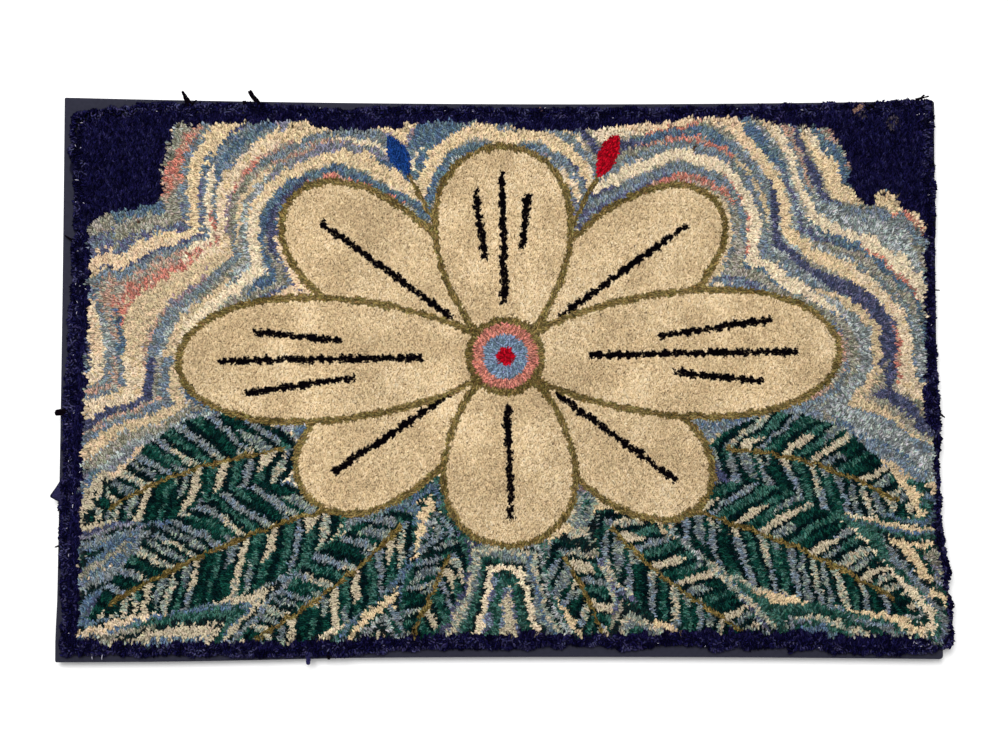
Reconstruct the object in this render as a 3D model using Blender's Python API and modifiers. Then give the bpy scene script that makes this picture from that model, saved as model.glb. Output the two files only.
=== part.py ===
"""A hooked rug sewn face up onto a cloth-covered mounting board.

The board lies on its flat back, and the rug lies on the board's face. The rug is one lumpy slab, its
foundation cloth and the pile that stands on it, with an uneven rim and a few stray locks of yarn.
Metres, +Z up. X runs along the rug's length and Y across it, with the rug's top edge at +Y.
"""

import math
import random
from collections import namedtuple

import bmesh
import bpy
from mathutils import Matrix, Vector, noise
from mathutils.geometry import delaunay_2d_cdt

OBJECT_NAME = "hooked_rug_on_board"

# Mounting board
BOARD_LENGTH = 0.9655  # across its ends
BOARD_WIDTH = 0.6178
BOARD_DEPTH = 0.020
BOARD_RIM_RADIUS = 0.0009
BOARD_RIM_SEGMENTS = 2
SHARP_ANGLE = math.radians(60)  # edges sharper than this are rounded

# How far the middle of each of its sides bends in
TOP_BOW = 0.0055
BOTTOM_BOW = 0.0037
LEFT_BOW = 0.0010
RIGHT_BOW = 0.0020
BOW_STEPS = 30

# The bottom side bulges out near its left end
BULGE_X = -0.345
BULGE_REACH = 0.215  # from its middle to where it has run out
BULGE_DEPTH = 0.0018

# The left side flares out near its bottom end
FLARE_Y = -0.288
FLARE_REACH = 0.050
FLARE_DEPTH = 0.0012

# Its corners, anticlockwise, each on a side of the middle along X and along Y
Corner = namedtuple("Corner", "across up radius")

BOARD_CORNERS = (
    Corner(-1, -1, 0.0018),
    Corner(1, -1, 0.0040),
    Corner(1, 1, 0.0030),
    Corner(-1, 1, 0.0016),
)
CORNER_STEPS = 3

# Rug
RUG_GAP = 0.0003  # between the rug's back and the board's face
RUG_THICKNESS = 0.009  # foundation and pile
RIM_PITCH = 0.0052  # between neighbouring points of the rim
RIM_RAG = 0.0014  # how far the tufts of the rim stand in or out
RIM_SHOULDER = 0.0045  # height at which the rim reaches furthest out
RIM_UNDERCUT = 0.0010  # how far the back's edge is drawn in
RIM_ROUNDING = 0.0022  # how far the top's edge is drawn in
CORNER_CUT = 0.0035  # how far the four corner points are drawn in
LUMP_PITCH = 0.032  # between neighbouring points of the top
LUMP_JITTER = 0.006
LUMP_MARGIN = 0.016  # from the rim to the first of those points
LUMP_SIZE = 0.075  # across one swell of the pile
LUMP_HEIGHT = 0.0014
MERGE_DISTANCE = 1e-6
SEED = 7

# How far the rug's rim lies inside the board's edge, in metres, at a share of the way along it:
# left to right on the top and bottom sides, bottom to top on the other two. Below 0 it overhangs.
Inset = namedtuple("Inset", "along inset")

TOP_INSETS = (
    Inset(0.000, 0.0155),
    Inset(0.030, 0.0125),
    Inset(0.046, 0.0086),
    Inset(0.066, 0.0080),
    Inset(0.079, 0.0036),
    Inset(0.092, 0.0022),
    Inset(0.260, 0.0022),
    Inset(0.290, 0.0065),
    Inset(0.317, 0.0060),
    Inset(0.340, 0.0030),
    Inset(0.440, 0.0025),
    Inset(0.500, 0.0031),
    Inset(0.530, 0.0047),
    Inset(0.565, 0.0030),
    Inset(0.795, 0.0024),
    Inset(0.840, 0.0012),
    Inset(0.925, 0.0005),
    Inset(0.940, -0.0016),
    Inset(0.958, -0.0030),
    Inset(0.968, -0.0013),
    Inset(0.985, -0.0018),
    Inset(1.000, -0.0014),
)
BOTTOM_INSETS = (
    Inset(0.000, 0.0052),
    Inset(0.120, 0.0054),
    Inset(0.170, 0.0038),
    Inset(0.210, 0.0018),
    Inset(0.310, 0.0008),
    Inset(0.350, 0.0035),
    Inset(0.380, 0.0068),
    Inset(0.510, 0.0070),
    Inset(0.535, 0.0098),
    Inset(0.554, 0.0072),
    Inset(0.570, 0.0105),
    Inset(0.600, 0.0105),
    Inset(0.630, 0.0059),
    Inset(0.650, 0.0070),
    Inset(0.670, 0.0104),
    Inset(0.697, 0.0104),
    Inset(0.720, 0.0085),
    Inset(0.735, 0.0038),
    Inset(0.755, 0.0092),
    Inset(0.785, 0.0080),
    Inset(0.800, 0.0102),
    Inset(0.815, 0.0102),
    Inset(0.824, 0.0058),
    Inset(0.850, 0.0080),
    Inset(0.868, 0.0030),
    Inset(0.975, 0.0036),
    Inset(0.985, 0.0110),
    Inset(1.000, 0.0120),
)
LEFT_INSETS = (
    Inset(0.000, 0.0050),
    Inset(0.020, 0.0034),
    Inset(0.080, 0.0052),
    Inset(0.130, 0.0030),
    Inset(0.260, 0.0016),
    Inset(0.357, 0.0043),
    Inset(0.390, 0.0020),
    Inset(0.466, 0.0040),
    Inset(0.545, 0.0063),
    Inset(0.607, 0.0075),
    Inset(0.698, 0.0113),
    Inset(0.727, 0.0095),
    Inset(0.789, 0.0125),
    Inset(0.818, 0.0098),
    Inset(0.849, 0.0120),
    Inset(0.880, 0.0098),
    Inset(0.909, 0.0091),
    Inset(0.925, 0.0045),
    Inset(0.953, 0.0060),
    Inset(1.000, 0.0085),
)
RIGHT_INSETS = (
    Inset(0.000, -0.0100),
    Inset(0.030, -0.0120),
    Inset(0.060, -0.0126),
    Inset(0.070, -0.0104),
    Inset(0.082, -0.0116),
    Inset(0.097, -0.0052),
    Inset(0.104, -0.0050),
    Inset(0.111, -0.0084),
    Inset(0.135, -0.0092),
    Inset(0.160, -0.0074),
    Inset(0.180, -0.0042),
    Inset(0.215, -0.0033),
    Inset(0.226, -0.0004),
    Inset(0.260, -0.0018),
    Inset(0.300, 0.0002),
    Inset(0.350, 0.0002),
    Inset(0.375, -0.0014),
    Inset(0.390, -0.0003),
    Inset(0.420, -0.0014),
    Inset(0.450, -0.0012),
    Inset(0.480, 0.0002),
    Inset(0.510, 0.0024),
    Inset(0.620, 0.0030),
    Inset(0.750, 0.0026),
    Inset(0.800, 0.0014),
    Inset(0.830, -0.0004),
    Inset(0.860, 0.0016),
    Inset(1.000, 0.0020),
)

# Stray locks of yarn that stick out of the rim. side and along place the root, reach is the length
# outside the rim, lean turns it in degrees, anticlockwise from straight out, and rise tips it up.
Lock = namedtuple("Lock", "side along reach lean rise root_width tip_width")

STRAY_LOCKS = (
    Lock("top", 0.137, 0.0128, 25, 8, 0.0070, 0.0024),
    Lock("top", 0.1445, 0.0035, -55, 10, 0.0030, 0.0014),
    Lock("top", 0.216, 0.0150, 37, 6, 0.0052, 0.0046),
    Lock("top", 0.983, 0.0064, -50, 8, 0.0030, 0.0020),
    Lock("top", 0.990, 0.0088, -73, 8, 0.0030, 0.0020),
    Lock("right", 0.418, 0.0045, -40, 4, 0.0036, 0.0014),
    Lock("right", 0.645, 0.0040, 0, 4, 0.0022, 0.0012),
    Lock("bottom", 0.2803, 0.0072, 3, 0, 0.0060, 0.0040),
    Lock("left", 0.443, 0.0066, 0, 6, 0.0085, 0.0060),
    Lock("left", 0.758, 0.0070, -20, 6, 0.0034, 0.0016),
    Lock("left", 0.203, 0.0045, 20, 2, 0.0034, 0.0014),
)
LOCK_SIDES = 4
LOCK_ROOT = 0.006  # how deep a lock is rooted in the rug
LOCK_HEIGHT = 0.0049  # above the rug's back

# Loose fold of the rug's turned edge, a thin triangle that lies out over the board's left side
FOLD_TOP = -0.100  # Y of its upper end
FOLD_BOTTOM = -0.1405
FOLD_TIP_Y = -0.1302
FOLD_ROOT = 0.0095  # inside the board's side
FOLD_REACH = 0.0082  # outside it
FOLD_THICKNESS = 0.0016
FOLD_LIFT = 0.0002  # above the rug's back

# Finishes: linear colour and roughness
PILE_COLOUR = (0.55, 0.45, 0.30)
PILE_ROUGHNESS = 0.95
BOARD_CLOTH_COLOUR = (0.045, 0.045, 0.052)
BOARD_CLOTH_ROUGHNESS = 0.9

OUTWARD = {
    "top": Vector((0, 1, 0)),
    "right": Vector((1, 0, 0)),
    "bottom": Vector((0, -1, 0)),
    "left": Vector((-1, 0, 0)),
}


def clear_scene():
    """Removes every object of the scene."""
    for old in list(bpy.data.objects):
        bpy.data.objects.remove(old, do_unlink=True)


def new_collection(name):
    """A new collection in the scene."""
    collection = bpy.data.collections.new(name)
    bpy.context.scene.collection.children.link(collection)
    return collection


def cloth_material(name, colour, roughness):
    """A matte cloth finish of one colour."""
    material = bpy.data.materials.new(name)
    material.use_nodes = True
    shader = material.node_tree.nodes["Principled BSDF"]
    shader.inputs["Base Color"].default_value = (*colour, 1)
    shader.inputs["Roughness"].default_value = roughness
    shader.inputs["Metallic"].default_value = 0
    return material


def add_object(name, bm, collection, material=None):
    """An object of the mesh bm, which is freed."""
    mesh = bpy.data.meshes.new(name)
    bm.to_mesh(mesh)
    bm.free()
    made = bpy.data.objects.new(name, mesh)
    collection.objects.link(made)
    if material:
        mesh.materials.append(material)
    return made


def make_cutter(made):
    """Keeps an object that only a Boolean uses out of sight."""
    made.hide_render = True
    made.display_type = "WIRE"


def unite(made, other):
    """Joins other to made as one body."""
    union = made.modifiers.new(f"join {other.name}", "BOOLEAN")
    union.operation = "UNION"
    union.solver = "EXACT"
    union.object = other
    make_cutter(other)


def interpolate(rows, along):
    """The inset at a share of the way along a side, eased between the rows."""
    for low, high in zip(rows, rows[1:]):
        if along <= high.along:
            part = (along - low.along) / (high.along - low.along)
            eased = (1 - math.cos(math.pi * part)) / 2
            return low.inset + (high.inset - low.inset) * eased
    return rows[-1].inset


def bend(depth, along):
    """How far a side bends in at a place from -1 to 1 along it: a parabola, deepest in the middle."""
    return depth * (1 - min(abs(along), 1) ** 2)


def swelling(away, reach, depth):
    """How far a side swells out at a distance from the middle of a swell: a smooth, round hump."""
    part = min(abs(away) / reach, 1)
    return depth * (1 - part**2) ** 2


def board_top(x):
    """The Y of the board's top side at x."""
    return BOARD_WIDTH / 2 - bend(TOP_BOW, 2 * x / BOARD_LENGTH)


def board_bottom(x):
    """The Y of the board's bottom side at x."""
    bulge = swelling(x - BULGE_X, BULGE_REACH, BULGE_DEPTH)
    return -BOARD_WIDTH / 2 + bend(BOTTOM_BOW, 2 * x / BOARD_LENGTH) - bulge


def plan_point(across, up):
    """The point of the rug's plan at a share of its length and of its width."""
    left = -BOARD_LENGTH / 2 + interpolate(LEFT_INSETS, up)
    right = BOARD_LENGTH / 2 - interpolate(RIGHT_INSETS, up)
    x = left + (right - left) * across
    bottom = board_bottom(x) + interpolate(BOTTOM_INSETS, across)
    top = board_top(x) - interpolate(TOP_INSETS, across)
    return Vector((x, bottom + (top - bottom) * up, 0))


def side_point(side, along):
    """The point of the rim at a share of the way along one side."""
    places = {
        "bottom": (along, 0),
        "right": (1, along),
        "top": (along, 1),
        "left": (0, along),
    }
    return plan_point(*places[side])


def rim_points(draw):
    """The rim, anticlockwise from the lower left corner, with its ragged tufts."""
    steps_long = round(BOARD_LENGTH / RIM_PITCH)
    steps_short = round(BOARD_WIDTH / RIM_PITCH)
    walk = [("bottom", i / steps_long) for i in range(steps_long)]
    walk += [("right", i / steps_short) for i in range(steps_short)]
    walk += [("top", 1 - i / steps_long) for i in range(steps_long)]
    walk += [("left", 1 - i / steps_short) for i in range(steps_short)]
    corner = {0, steps_long, steps_long + steps_short, 2 * steps_long + steps_short}
    points = []
    for i, (side, along) in enumerate(walk):
        point = side_point(side, along)
        if i in corner:
            point -= CORNER_CUT * point.normalized()
        points.append(point + RIM_RAG * draw.uniform(-1, 1) * OUTWARD[side])
    return points


def outward_normals(points):
    """The outward direction at each point of an anticlockwise outline."""
    count = len(points)
    normals = []
    for i in range(count):
        tangent = points[(i + 2) % count] - points[i - 2]
        normals.append(Vector((tangent.y, -tangent.x, 0)).normalized())
    return normals


def lump_points(draw):
    """The points between the rim's, a jittered lattice over the rug's plan."""
    columns = round((BOARD_LENGTH - 2 * LUMP_MARGIN) / LUMP_PITCH)
    rows = round((BOARD_WIDTH - 2 * LUMP_MARGIN) / LUMP_PITCH)
    margin_x = LUMP_MARGIN / BOARD_LENGTH
    margin_y = LUMP_MARGIN / BOARD_WIDTH
    points = []
    for row in range(rows + 1):
        for column in range(columns + 1):
            across = margin_x + (1 - 2 * margin_x) * column / columns
            up = margin_y + (1 - 2 * margin_y) * row / rows
            edge = row in (0, rows) or column in (0, columns)
            jitter = 0 if edge else LUMP_JITTER
            shift = Vector((draw.uniform(-1, 1), draw.uniform(-1, 1), 0)) * jitter
            points.append(plan_point(across, up) + shift)
    return points


def lump(point):
    """How far the pile swells or sinks at a point."""
    return LUMP_HEIGHT * noise.noise(Vector((point.x, point.y, 0)) / LUMP_SIZE)


def plan_mesh(rim, lumps):
    """The rug's plan as a flat triangulated mesh. Its rim layer holds each rim point's number
    plus one, and 0 elsewhere."""
    outline = list(range(len(rim)))
    plan = [point.to_2d() for point in rim + lumps]
    found = delaunay_2d_cdt(plan, [], [outline], 1, MERGE_DISTANCE)
    points, triangles, sources = found[0], found[2], found[3]
    bm = bmesh.new()
    rim_layer = bm.verts.layers.int.new("rim")
    for point, source in zip(points, sources):
        vert = bm.verts.new((point.x, point.y, 0))
        vert[rim_layer] = source[0] + 1 if source[0] < len(rim) else 0
    bm.verts.ensure_lookup_table()
    for triangle in triangles:
        bm.faces.new([bm.verts[i] for i in triangle])
    return bm, rim_layer


def raised(bm, faces):
    """Extrudes a region of faces, which stays, and returns the new points and faces."""
    made = bmesh.ops.extrude_face_region(bm, geom=faces, use_keep_orig=True)["geom"]
    verts = [part for part in made if isinstance(part, bmesh.types.BMVert)]
    return verts, [part for part in made if isinstance(part, bmesh.types.BMFace)]


def slab_mesh():
    """The rug's slab: its plan, raised to the shoulder of the rim and then to its lumpy top."""
    draw = random.Random(SEED)
    rim = rim_points(draw)
    normals = outward_normals(rim)
    bm, rim_layer = plan_mesh(rim, lump_points(draw))
    back = BOARD_DEPTH + RUG_GAP

    def place(verts, drawn_in, height):
        """Draws the rim points among verts in, and sets every point's height over the back."""
        for vert in verts:
            if vert[rim_layer]:
                number = vert[rim_layer] - 1
                spot = rim[number] - normals[number] * drawn_in
                vert.co.x, vert.co.y = spot.x, spot.y
            vert.co.z = back + height(vert.co)

    place(bm.verts, RIM_UNDERCUT, lambda spot: 0)
    verts, shoulder = raised(bm, bm.faces[:])
    place(verts, 0, lambda spot: RIM_SHOULDER)
    verts, _top = raised(bm, shoulder)
    place(verts, RIM_ROUNDING, lambda spot: RUG_THICKNESS + lump(spot))
    bmesh.ops.delete(bm, geom=shoulder, context="FACES")
    bmesh.ops.recalc_face_normals(bm, faces=bm.faces[:])
    return bm


def lock_mesh(lock):
    """A stray lock, four-sided and tapered, rooted inside the rug's rim."""
    bm = bmesh.new()
    flat = Matrix.Rotation(math.radians(lock.lean), 3, "Z") @ OUTWARD[lock.side]
    rise = math.radians(lock.rise)
    direction = flat * math.cos(rise) + Vector((0, 0, math.sin(rise)))
    length = LOCK_ROOT + lock.reach
    root = side_point(lock.side, lock.along) - flat * LOCK_ROOT
    root.z = BOARD_DEPTH + RUG_GAP + LOCK_HEIGHT
    turn = direction.to_track_quat("Z", "Y").to_matrix().to_4x4()
    bmesh.ops.create_cone(
        bm,
        cap_ends=True,
        segments=LOCK_SIDES,
        radius1=lock.root_width / 2,
        radius2=lock.tip_width / 2,
        depth=length,
        matrix=Matrix.Translation(root + direction * length / 2) @ turn,
    )
    return bm


def fold_mesh():
    """The loose fold of the rug's edge: a thin triangle rooted in the rug's left side."""
    bm = bmesh.new()
    side = -BOARD_LENGTH / 2
    corners = (
        (side + FOLD_ROOT, FOLD_TOP),
        (side - FOLD_REACH, FOLD_TIP_Y),
        (side + FOLD_ROOT, FOLD_BOTTOM),
    )
    under = BOARD_DEPTH + RUG_GAP + FOLD_LIFT
    face = bm.faces.new([bm.verts.new((x, y, under)) for x, y in corners])
    top, _faces = raised(bm, [face])
    bmesh.ops.translate(bm, vec=(0, 0, FOLD_THICKNESS), verts=top)
    bmesh.ops.recalc_face_normals(bm, faces=bm.faces[:])
    return bm


def make_rug(parts, cutters):
    """The rug: its slab with the stray locks and the loose fold fused to the rim."""
    material = cloth_material("hooked wool pile", PILE_COLOUR, PILE_ROUGHNESS)
    rug = add_object("rug", slab_mesh(), parts, material)
    for number, lock in enumerate(STRAY_LOCKS):
        unite(rug, add_object(f"stray_lock_{number}", lock_mesh(lock), cutters))
    unite(rug, add_object("edge_fold", fold_mesh(), cutters))
    return rug


def bent(point):
    """A point of a straight board, moved by the bends of its sides."""
    along, up = 2 * point.x / BOARD_LENGTH, 2 * point.y / BOARD_WIDTH
    if along > 0:
        side_bow = bend(RIGHT_BOW, up)
    else:
        side_bow = bend(LEFT_BOW, up) - swelling(point.y - FLARE_Y, FLARE_REACH, FLARE_DEPTH)
    top, bottom = board_top(point.x), board_bottom(point.x)
    return Vector((point.x - along * side_bow, bottom + (top - bottom) * (up + 1) / 2, 0))


def board_outline():
    """The board's outline, anticlockwise, with its round corners and bent sides."""
    straight = []
    for number, corner in enumerate(BOARD_CORNERS):
        x = corner.across * (BOARD_LENGTH / 2 - corner.radius)
        y = corner.up * (BOARD_WIDTH / 2 - corner.radius)
        for step in range(CORNER_STEPS + 1):
            turn = math.radians(180 + 90 * (number + step / CORNER_STEPS))
            arm = Vector((math.cos(turn), math.sin(turn), 0)) * corner.radius
            straight.append(Vector((x, y, 0)) + arm)
    points = []
    for number, point in enumerate(straight):
        following = straight[(number + 1) % len(straight)]
        steps = BOW_STEPS if (following - point).length > BOARD_WIDTH / 2 else 1
        points += [bent(point.lerp(following, step / steps)) for step in range(steps)]
    return points


def board_mesh():
    """The board: its outline, raised to its depth."""
    bm = bmesh.new()
    face = bm.faces.new([bm.verts.new(point) for point in board_outline()])
    top, _faces = raised(bm, [face])
    bmesh.ops.translate(bm, vec=(0, 0, BOARD_DEPTH), verts=top)
    bmesh.ops.recalc_face_normals(bm, faces=bm.faces[:])
    return bm


def make_board(parts):
    """The mounting board in its charcoal cloth."""
    material = cloth_material(
        "charcoal board cloth", BOARD_CLOTH_COLOUR, BOARD_CLOTH_ROUGHNESS
    )
    board = add_object("mounting_board", board_mesh(), parts, material)
    rounding = board.modifiers.new("round the rims", "BEVEL")
    rounding.width = BOARD_RIM_RADIUS
    rounding.segments = BOARD_RIM_SEGMENTS
    rounding.limit_method = "ANGLE"
    rounding.angle_limit = SHARP_ANGLE
    return board


def shift_to_origin(objects):
    """The move that takes the middle of the base of the objects' box to the origin."""
    depsgraph = bpy.context.evaluated_depsgraph_get()
    corners = [Vector(c) for made in objects for c in made.evaluated_get(depsgraph).bound_box]
    low = [min(c[axis] for c in corners) for axis in range(3)]
    high = [max(c[axis] for c in corners) for axis in range(3)]
    return Vector((-(low[0] + high[0]) / 2, -(low[1] + high[1]) / 2, -low[2]))


def main():
    """Builds the board and the rug on it."""
    clear_scene()
    parts = new_collection(OBJECT_NAME)
    cutters = new_collection("cutters")
    board = make_board(parts)
    rug = make_rug(parts, cutters)
    shift = shift_to_origin([board, rug])
    for made in (*parts.objects, *cutters.objects):
        made.location = shift


main()
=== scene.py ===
"""The looks of a hooked wool rug that is sewn face up onto a cloth-covered mounting board.

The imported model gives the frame: the board keeps its own shape and gets its cloth, and the rug's slab is
replaced by a foundation cloth with the pile that is hooked through it, tuft by tuft. Metres, +Z up. X runs
along the rug's length and Y across it, with the rug's top edge at +Y.
"""

import logging
import math
from collections.abc import Callable
from dataclasses import dataclass
from enum import Enum, IntEnum

import bpy
import numpy as np
from numpy.typing import NDArray
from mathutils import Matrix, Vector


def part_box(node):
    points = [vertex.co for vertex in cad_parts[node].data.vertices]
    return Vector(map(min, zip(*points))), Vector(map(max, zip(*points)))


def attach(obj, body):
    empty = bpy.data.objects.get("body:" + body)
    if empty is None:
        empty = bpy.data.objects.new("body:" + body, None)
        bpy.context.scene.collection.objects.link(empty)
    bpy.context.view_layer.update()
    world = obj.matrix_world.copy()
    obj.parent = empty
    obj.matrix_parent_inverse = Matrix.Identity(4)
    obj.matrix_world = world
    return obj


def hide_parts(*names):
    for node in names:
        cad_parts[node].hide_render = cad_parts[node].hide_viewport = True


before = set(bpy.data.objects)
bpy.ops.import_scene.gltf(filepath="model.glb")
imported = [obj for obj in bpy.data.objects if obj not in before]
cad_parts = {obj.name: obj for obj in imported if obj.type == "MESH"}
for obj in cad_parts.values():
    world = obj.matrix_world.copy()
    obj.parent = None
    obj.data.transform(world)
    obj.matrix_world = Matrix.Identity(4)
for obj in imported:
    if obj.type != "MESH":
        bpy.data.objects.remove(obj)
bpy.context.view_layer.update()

LOG = logging.getLogger("hooked_rug")

Array = NDArray[np.float64]
Mask = NDArray[np.bool_]
Random = np.random.Generator
Numbers = NDArray[np.int64]
Pair = tuple[float, float]
Triple = tuple[float, float, float]
Piece = bpy.types.Object
Material = bpy.types.Material
Tree = bpy.types.NodeTree
Node = bpy.types.Node
Socket = bpy.types.NodeSocket

MM = 0.001
TINY = 1e-12
PROBE = 1.5 * MM  # the step over which slopes are measured
BODY = "root"
BAKE_MAP = "OFBake"
YARN_LAYER = "yarn"
STUDIO_LIGHT = 1.25  # how much brighter than its own colour a finish shows under the studio's lamps


# ---- Numbers shared by all the pieces ----


class Noise(IntEnum):
    """The seeds of the smooth noises, one for each use."""

    DRIFT = 31
    RIPPLE = 32
    RAG_X = 41
    FRAY_X = 42
    RAG_Y = 43
    FRAY_Y = 44
    TEETH = 45
    FIELD_TEETH = 46
    LEAF_WAVE = 47
    UNDERGROWTH = 48
    PLY = 51
    LINE_FRAY = 53
    BEADS = 54
    MOOD = 55
    GRAIN = 56
    FLOP = 57
    TUFT_CLUMPS = 61
    TUFT_CLOUDS = 62
    SPOT_EDGE = 71
    SPOT_THREADS = 72
    RIM_ZONE = 73
    RIM_FADE = 74
    FRINGE_CLUMPS = 75


def reflectance(display: Triple) -> Array:
    """The linear reflectance that shows as a display colour under the studio's lamps.

    Formula: each channel c of 0 to 255 is scaled to 0 to 1. Its light is c / 12.92 in the darks and
    ((c + 0.055) / 1.055) to the power 2.4 elsewhere, and is divided by the studio's light.

    Args:
        display: red, green and blue from 0 to 255.

    Returns:
        Three linear channels.
    """
    shown = np.array(display, float) / 255
    light = np.where(shown <= 0.04045, shown / 12.92, ((shown + 0.055) / 1.055) ** 2.4)
    return light / STUDIO_LIGHT


def patchy(x: Array, y: Array, cell: float, seed: int) -> Array:
    """Smooth noise from -1 to 1 over the plan.

    Formula: random heights stand on a square lattice of that cell, and a point takes the blend of the four
    round it, eased by 3t² - 2t³ along both axes.

    Args:
        x, y: places along X and Y.
        cell: the lattice's cell, in metres.
        seed: picks the heights.

    Returns:
        The noise at each place.
    """
    side = 256
    heights = np.random.default_rng(seed).uniform(-1, 1, (side, side))
    u, v = x / cell, y / cell
    i, j = np.floor(u).astype(int), np.floor(v).astype(int)
    s, t = u - i, v - j
    s, t = s * s * (3 - 2 * s), t * t * (3 - 2 * t)
    i, j = i % side, j % side
    right, above = (i + 1) % side, (j + 1) % side
    low = heights[i, j] * (1 - s) + heights[right, j] * s
    high = heights[i, above] * (1 - s) + heights[right, above] * s
    return low * (1 - t) + high * t


def toothed(x: Array, y: Array, cell: float, seed: int) -> Array:
    """Pointed teeth from 0 to 1: 1 less 2.6 times the size of the smooth noise, and at least 0."""
    return np.clip(1 - 2.6 * np.abs(patchy(x, y, cell, seed)), 0, 1)


def turned(x: Array, y: Array, angle: float) -> tuple[Array, Array]:
    """Places along a direction, whose angle is in radians, and to its left."""
    return x * math.cos(angle) + y * math.sin(angle), y * math.cos(angle) - x * math.sin(angle)


def within(x: Array, y: Array, corners: tuple[Pair, ...]) -> Mask:
    """Whether points lie inside a polygon.

    Formula: a ray from the point towards +X crosses the sides of a polygon that holds it an odd number of
    times.

    Args:
        x, y: places along X and Y.
        corners: the polygon's corners, in order.

    Returns:
        True for each point inside.
    """
    inside = np.zeros(np.shape(x), bool)
    for (x1, y1), (x2, y2) in zip(corners, corners[1:] + corners[:1]):
        crosses = (y1 > y) != (y2 > y)
        at = x1 + (x2 - x1) * (y - y1) / (y2 - y1 + TINY)
        inside ^= crosses & (x < at)
    return inside


def hexagonal(low: Array, high: Array, pitch: float, jitter: float, draw: Random) -> Array:
    """Points on a hexagonal lattice over a box, each shifted a little.

    Formula: rows stand pitch times the square root of 3/4 apart, and every other row is half a pitch along.

    Args:
        low: the box's lowest corner.
        high: the box's highest corner.
        pitch: between neighbouring points.
        jitter: the largest shift along each axis.
        draw: the random source.

    Returns:
        The points, a row of x and y each.
    """
    rise = pitch * math.sqrt(0.75)
    across = np.arange(low[0], high[0], pitch)
    up = np.arange(low[1], high[1], rise)
    x, y = np.meshgrid(across, up)
    x = x + np.where(np.arange(len(up)) % 2, pitch / 2, 0)[:, None]
    points = np.stack([x.ravel(), y.ravel()], axis=1)
    return points + draw.uniform(-jitter, jitter, points.shape)


# ---- Meshes ----


@dataclass(frozen=True)
class Form:
    """The arrays of one mesh.

    Args:
        points: its points, a row of x, y and z each.
        faces: groups of faces with equally many corners, drawn in this order.
        colours: each point's linear colour.
    """

    points: Array
    faces: tuple[Numbers, ...]
    colours: Array

    def joined(self, other: "Form") -> "Form":
        """This form and another as one, whose groups of faces match one by one."""
        moved = (group + len(self.points) for group in other.faces)
        faces = tuple(np.concatenate(pair) for pair in zip(self.faces, moved))
        colours = np.concatenate([self.colours, other.colours])
        return Form(np.concatenate([self.points, other.points]), faces, colours)


def all_joined(forms: list[Form]) -> Form:
    """Several like forms as one."""
    whole = forms[0]
    for form in forms[1:]:
        whole = whole.joined(form)
    return whole


def repeated(pattern: list[list[int]], count: int, points_each: int) -> Numbers:
    """The faces of many like shapes, from the faces of one by the numbers of its own points."""
    first = np.arange(count)[:, None, None] * points_each
    return (np.array(pattern)[None] + first).reshape(-1, len(pattern[0]))


def strands(
    root: Array, way: Array, length: Array, radius: Array, arch: Array, curl: Array, colour: Array
) -> Form:
    """Bent strands of yarn as one mesh.

    Formula: a strand's line runs straight along its way, and is lifted by its arch and pushed sideways by
    its curl times 4t(1 - t). Rings of three points stand at 0.28 and 0.72 of it, and its ends are points.

    Args:
        root: where each strand starts, a row of x, y and z each.
        way: the unit direction of each.
        length: how long each is.
        radius: half its thickness.
        arch: how far its middle is lifted.
        curl: how far its middle is pushed sideways.
        colour: each strand's colour.

    Returns:
        The strands' arrays.
    """
    count = len(root)
    side = np.stack([-way[:, 1], way[:, 0], np.zeros(count)], axis=1)
    side /= np.maximum(np.linalg.norm(side, axis=1), TINY)[:, None]
    lift = np.cross(way, side)

    def line(t: float) -> Array:
        """The strand's line at a share of its length."""
        bow = 4 * t * (1 - t)
        straight = root + way * (length * t)[:, None]
        return straight + lift * (arch * bow)[:, None] + side * (curl * bow)[:, None]

    rings = []
    for t in (0.28, 0.72):
        middle = line(t)
        for angle in (90, 210, 330):
            turn = math.radians(angle)
            rings.append(middle + radius[:, None] * (lift * math.sin(turn) + side * math.cos(turn)))
    points = np.stack([line(0), *rings, line(1)], axis=1)
    # Painted light: each ring's top point is painted lighter as a painted highlight, and the strand's ends
    # darker as painted shade
    dark, mid, light = colour * 0.7, colour * 0.85, colour * 1.1
    colours = np.stack([dark, light, mid, mid, light, mid, mid, dark], axis=1)
    faces = (
        repeated([[1, 2, 5, 4], [2, 3, 6, 5], [3, 1, 4, 6]], count, 8),
        repeated([[0, 2, 1], [0, 3, 2], [0, 1, 3], [7, 4, 5], [7, 5, 6], [7, 6, 4]], count, 8),
    )
    return Form(points.reshape(-1, 3), faces, np.clip(colours, 0, 1).reshape(-1, 3))


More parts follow.
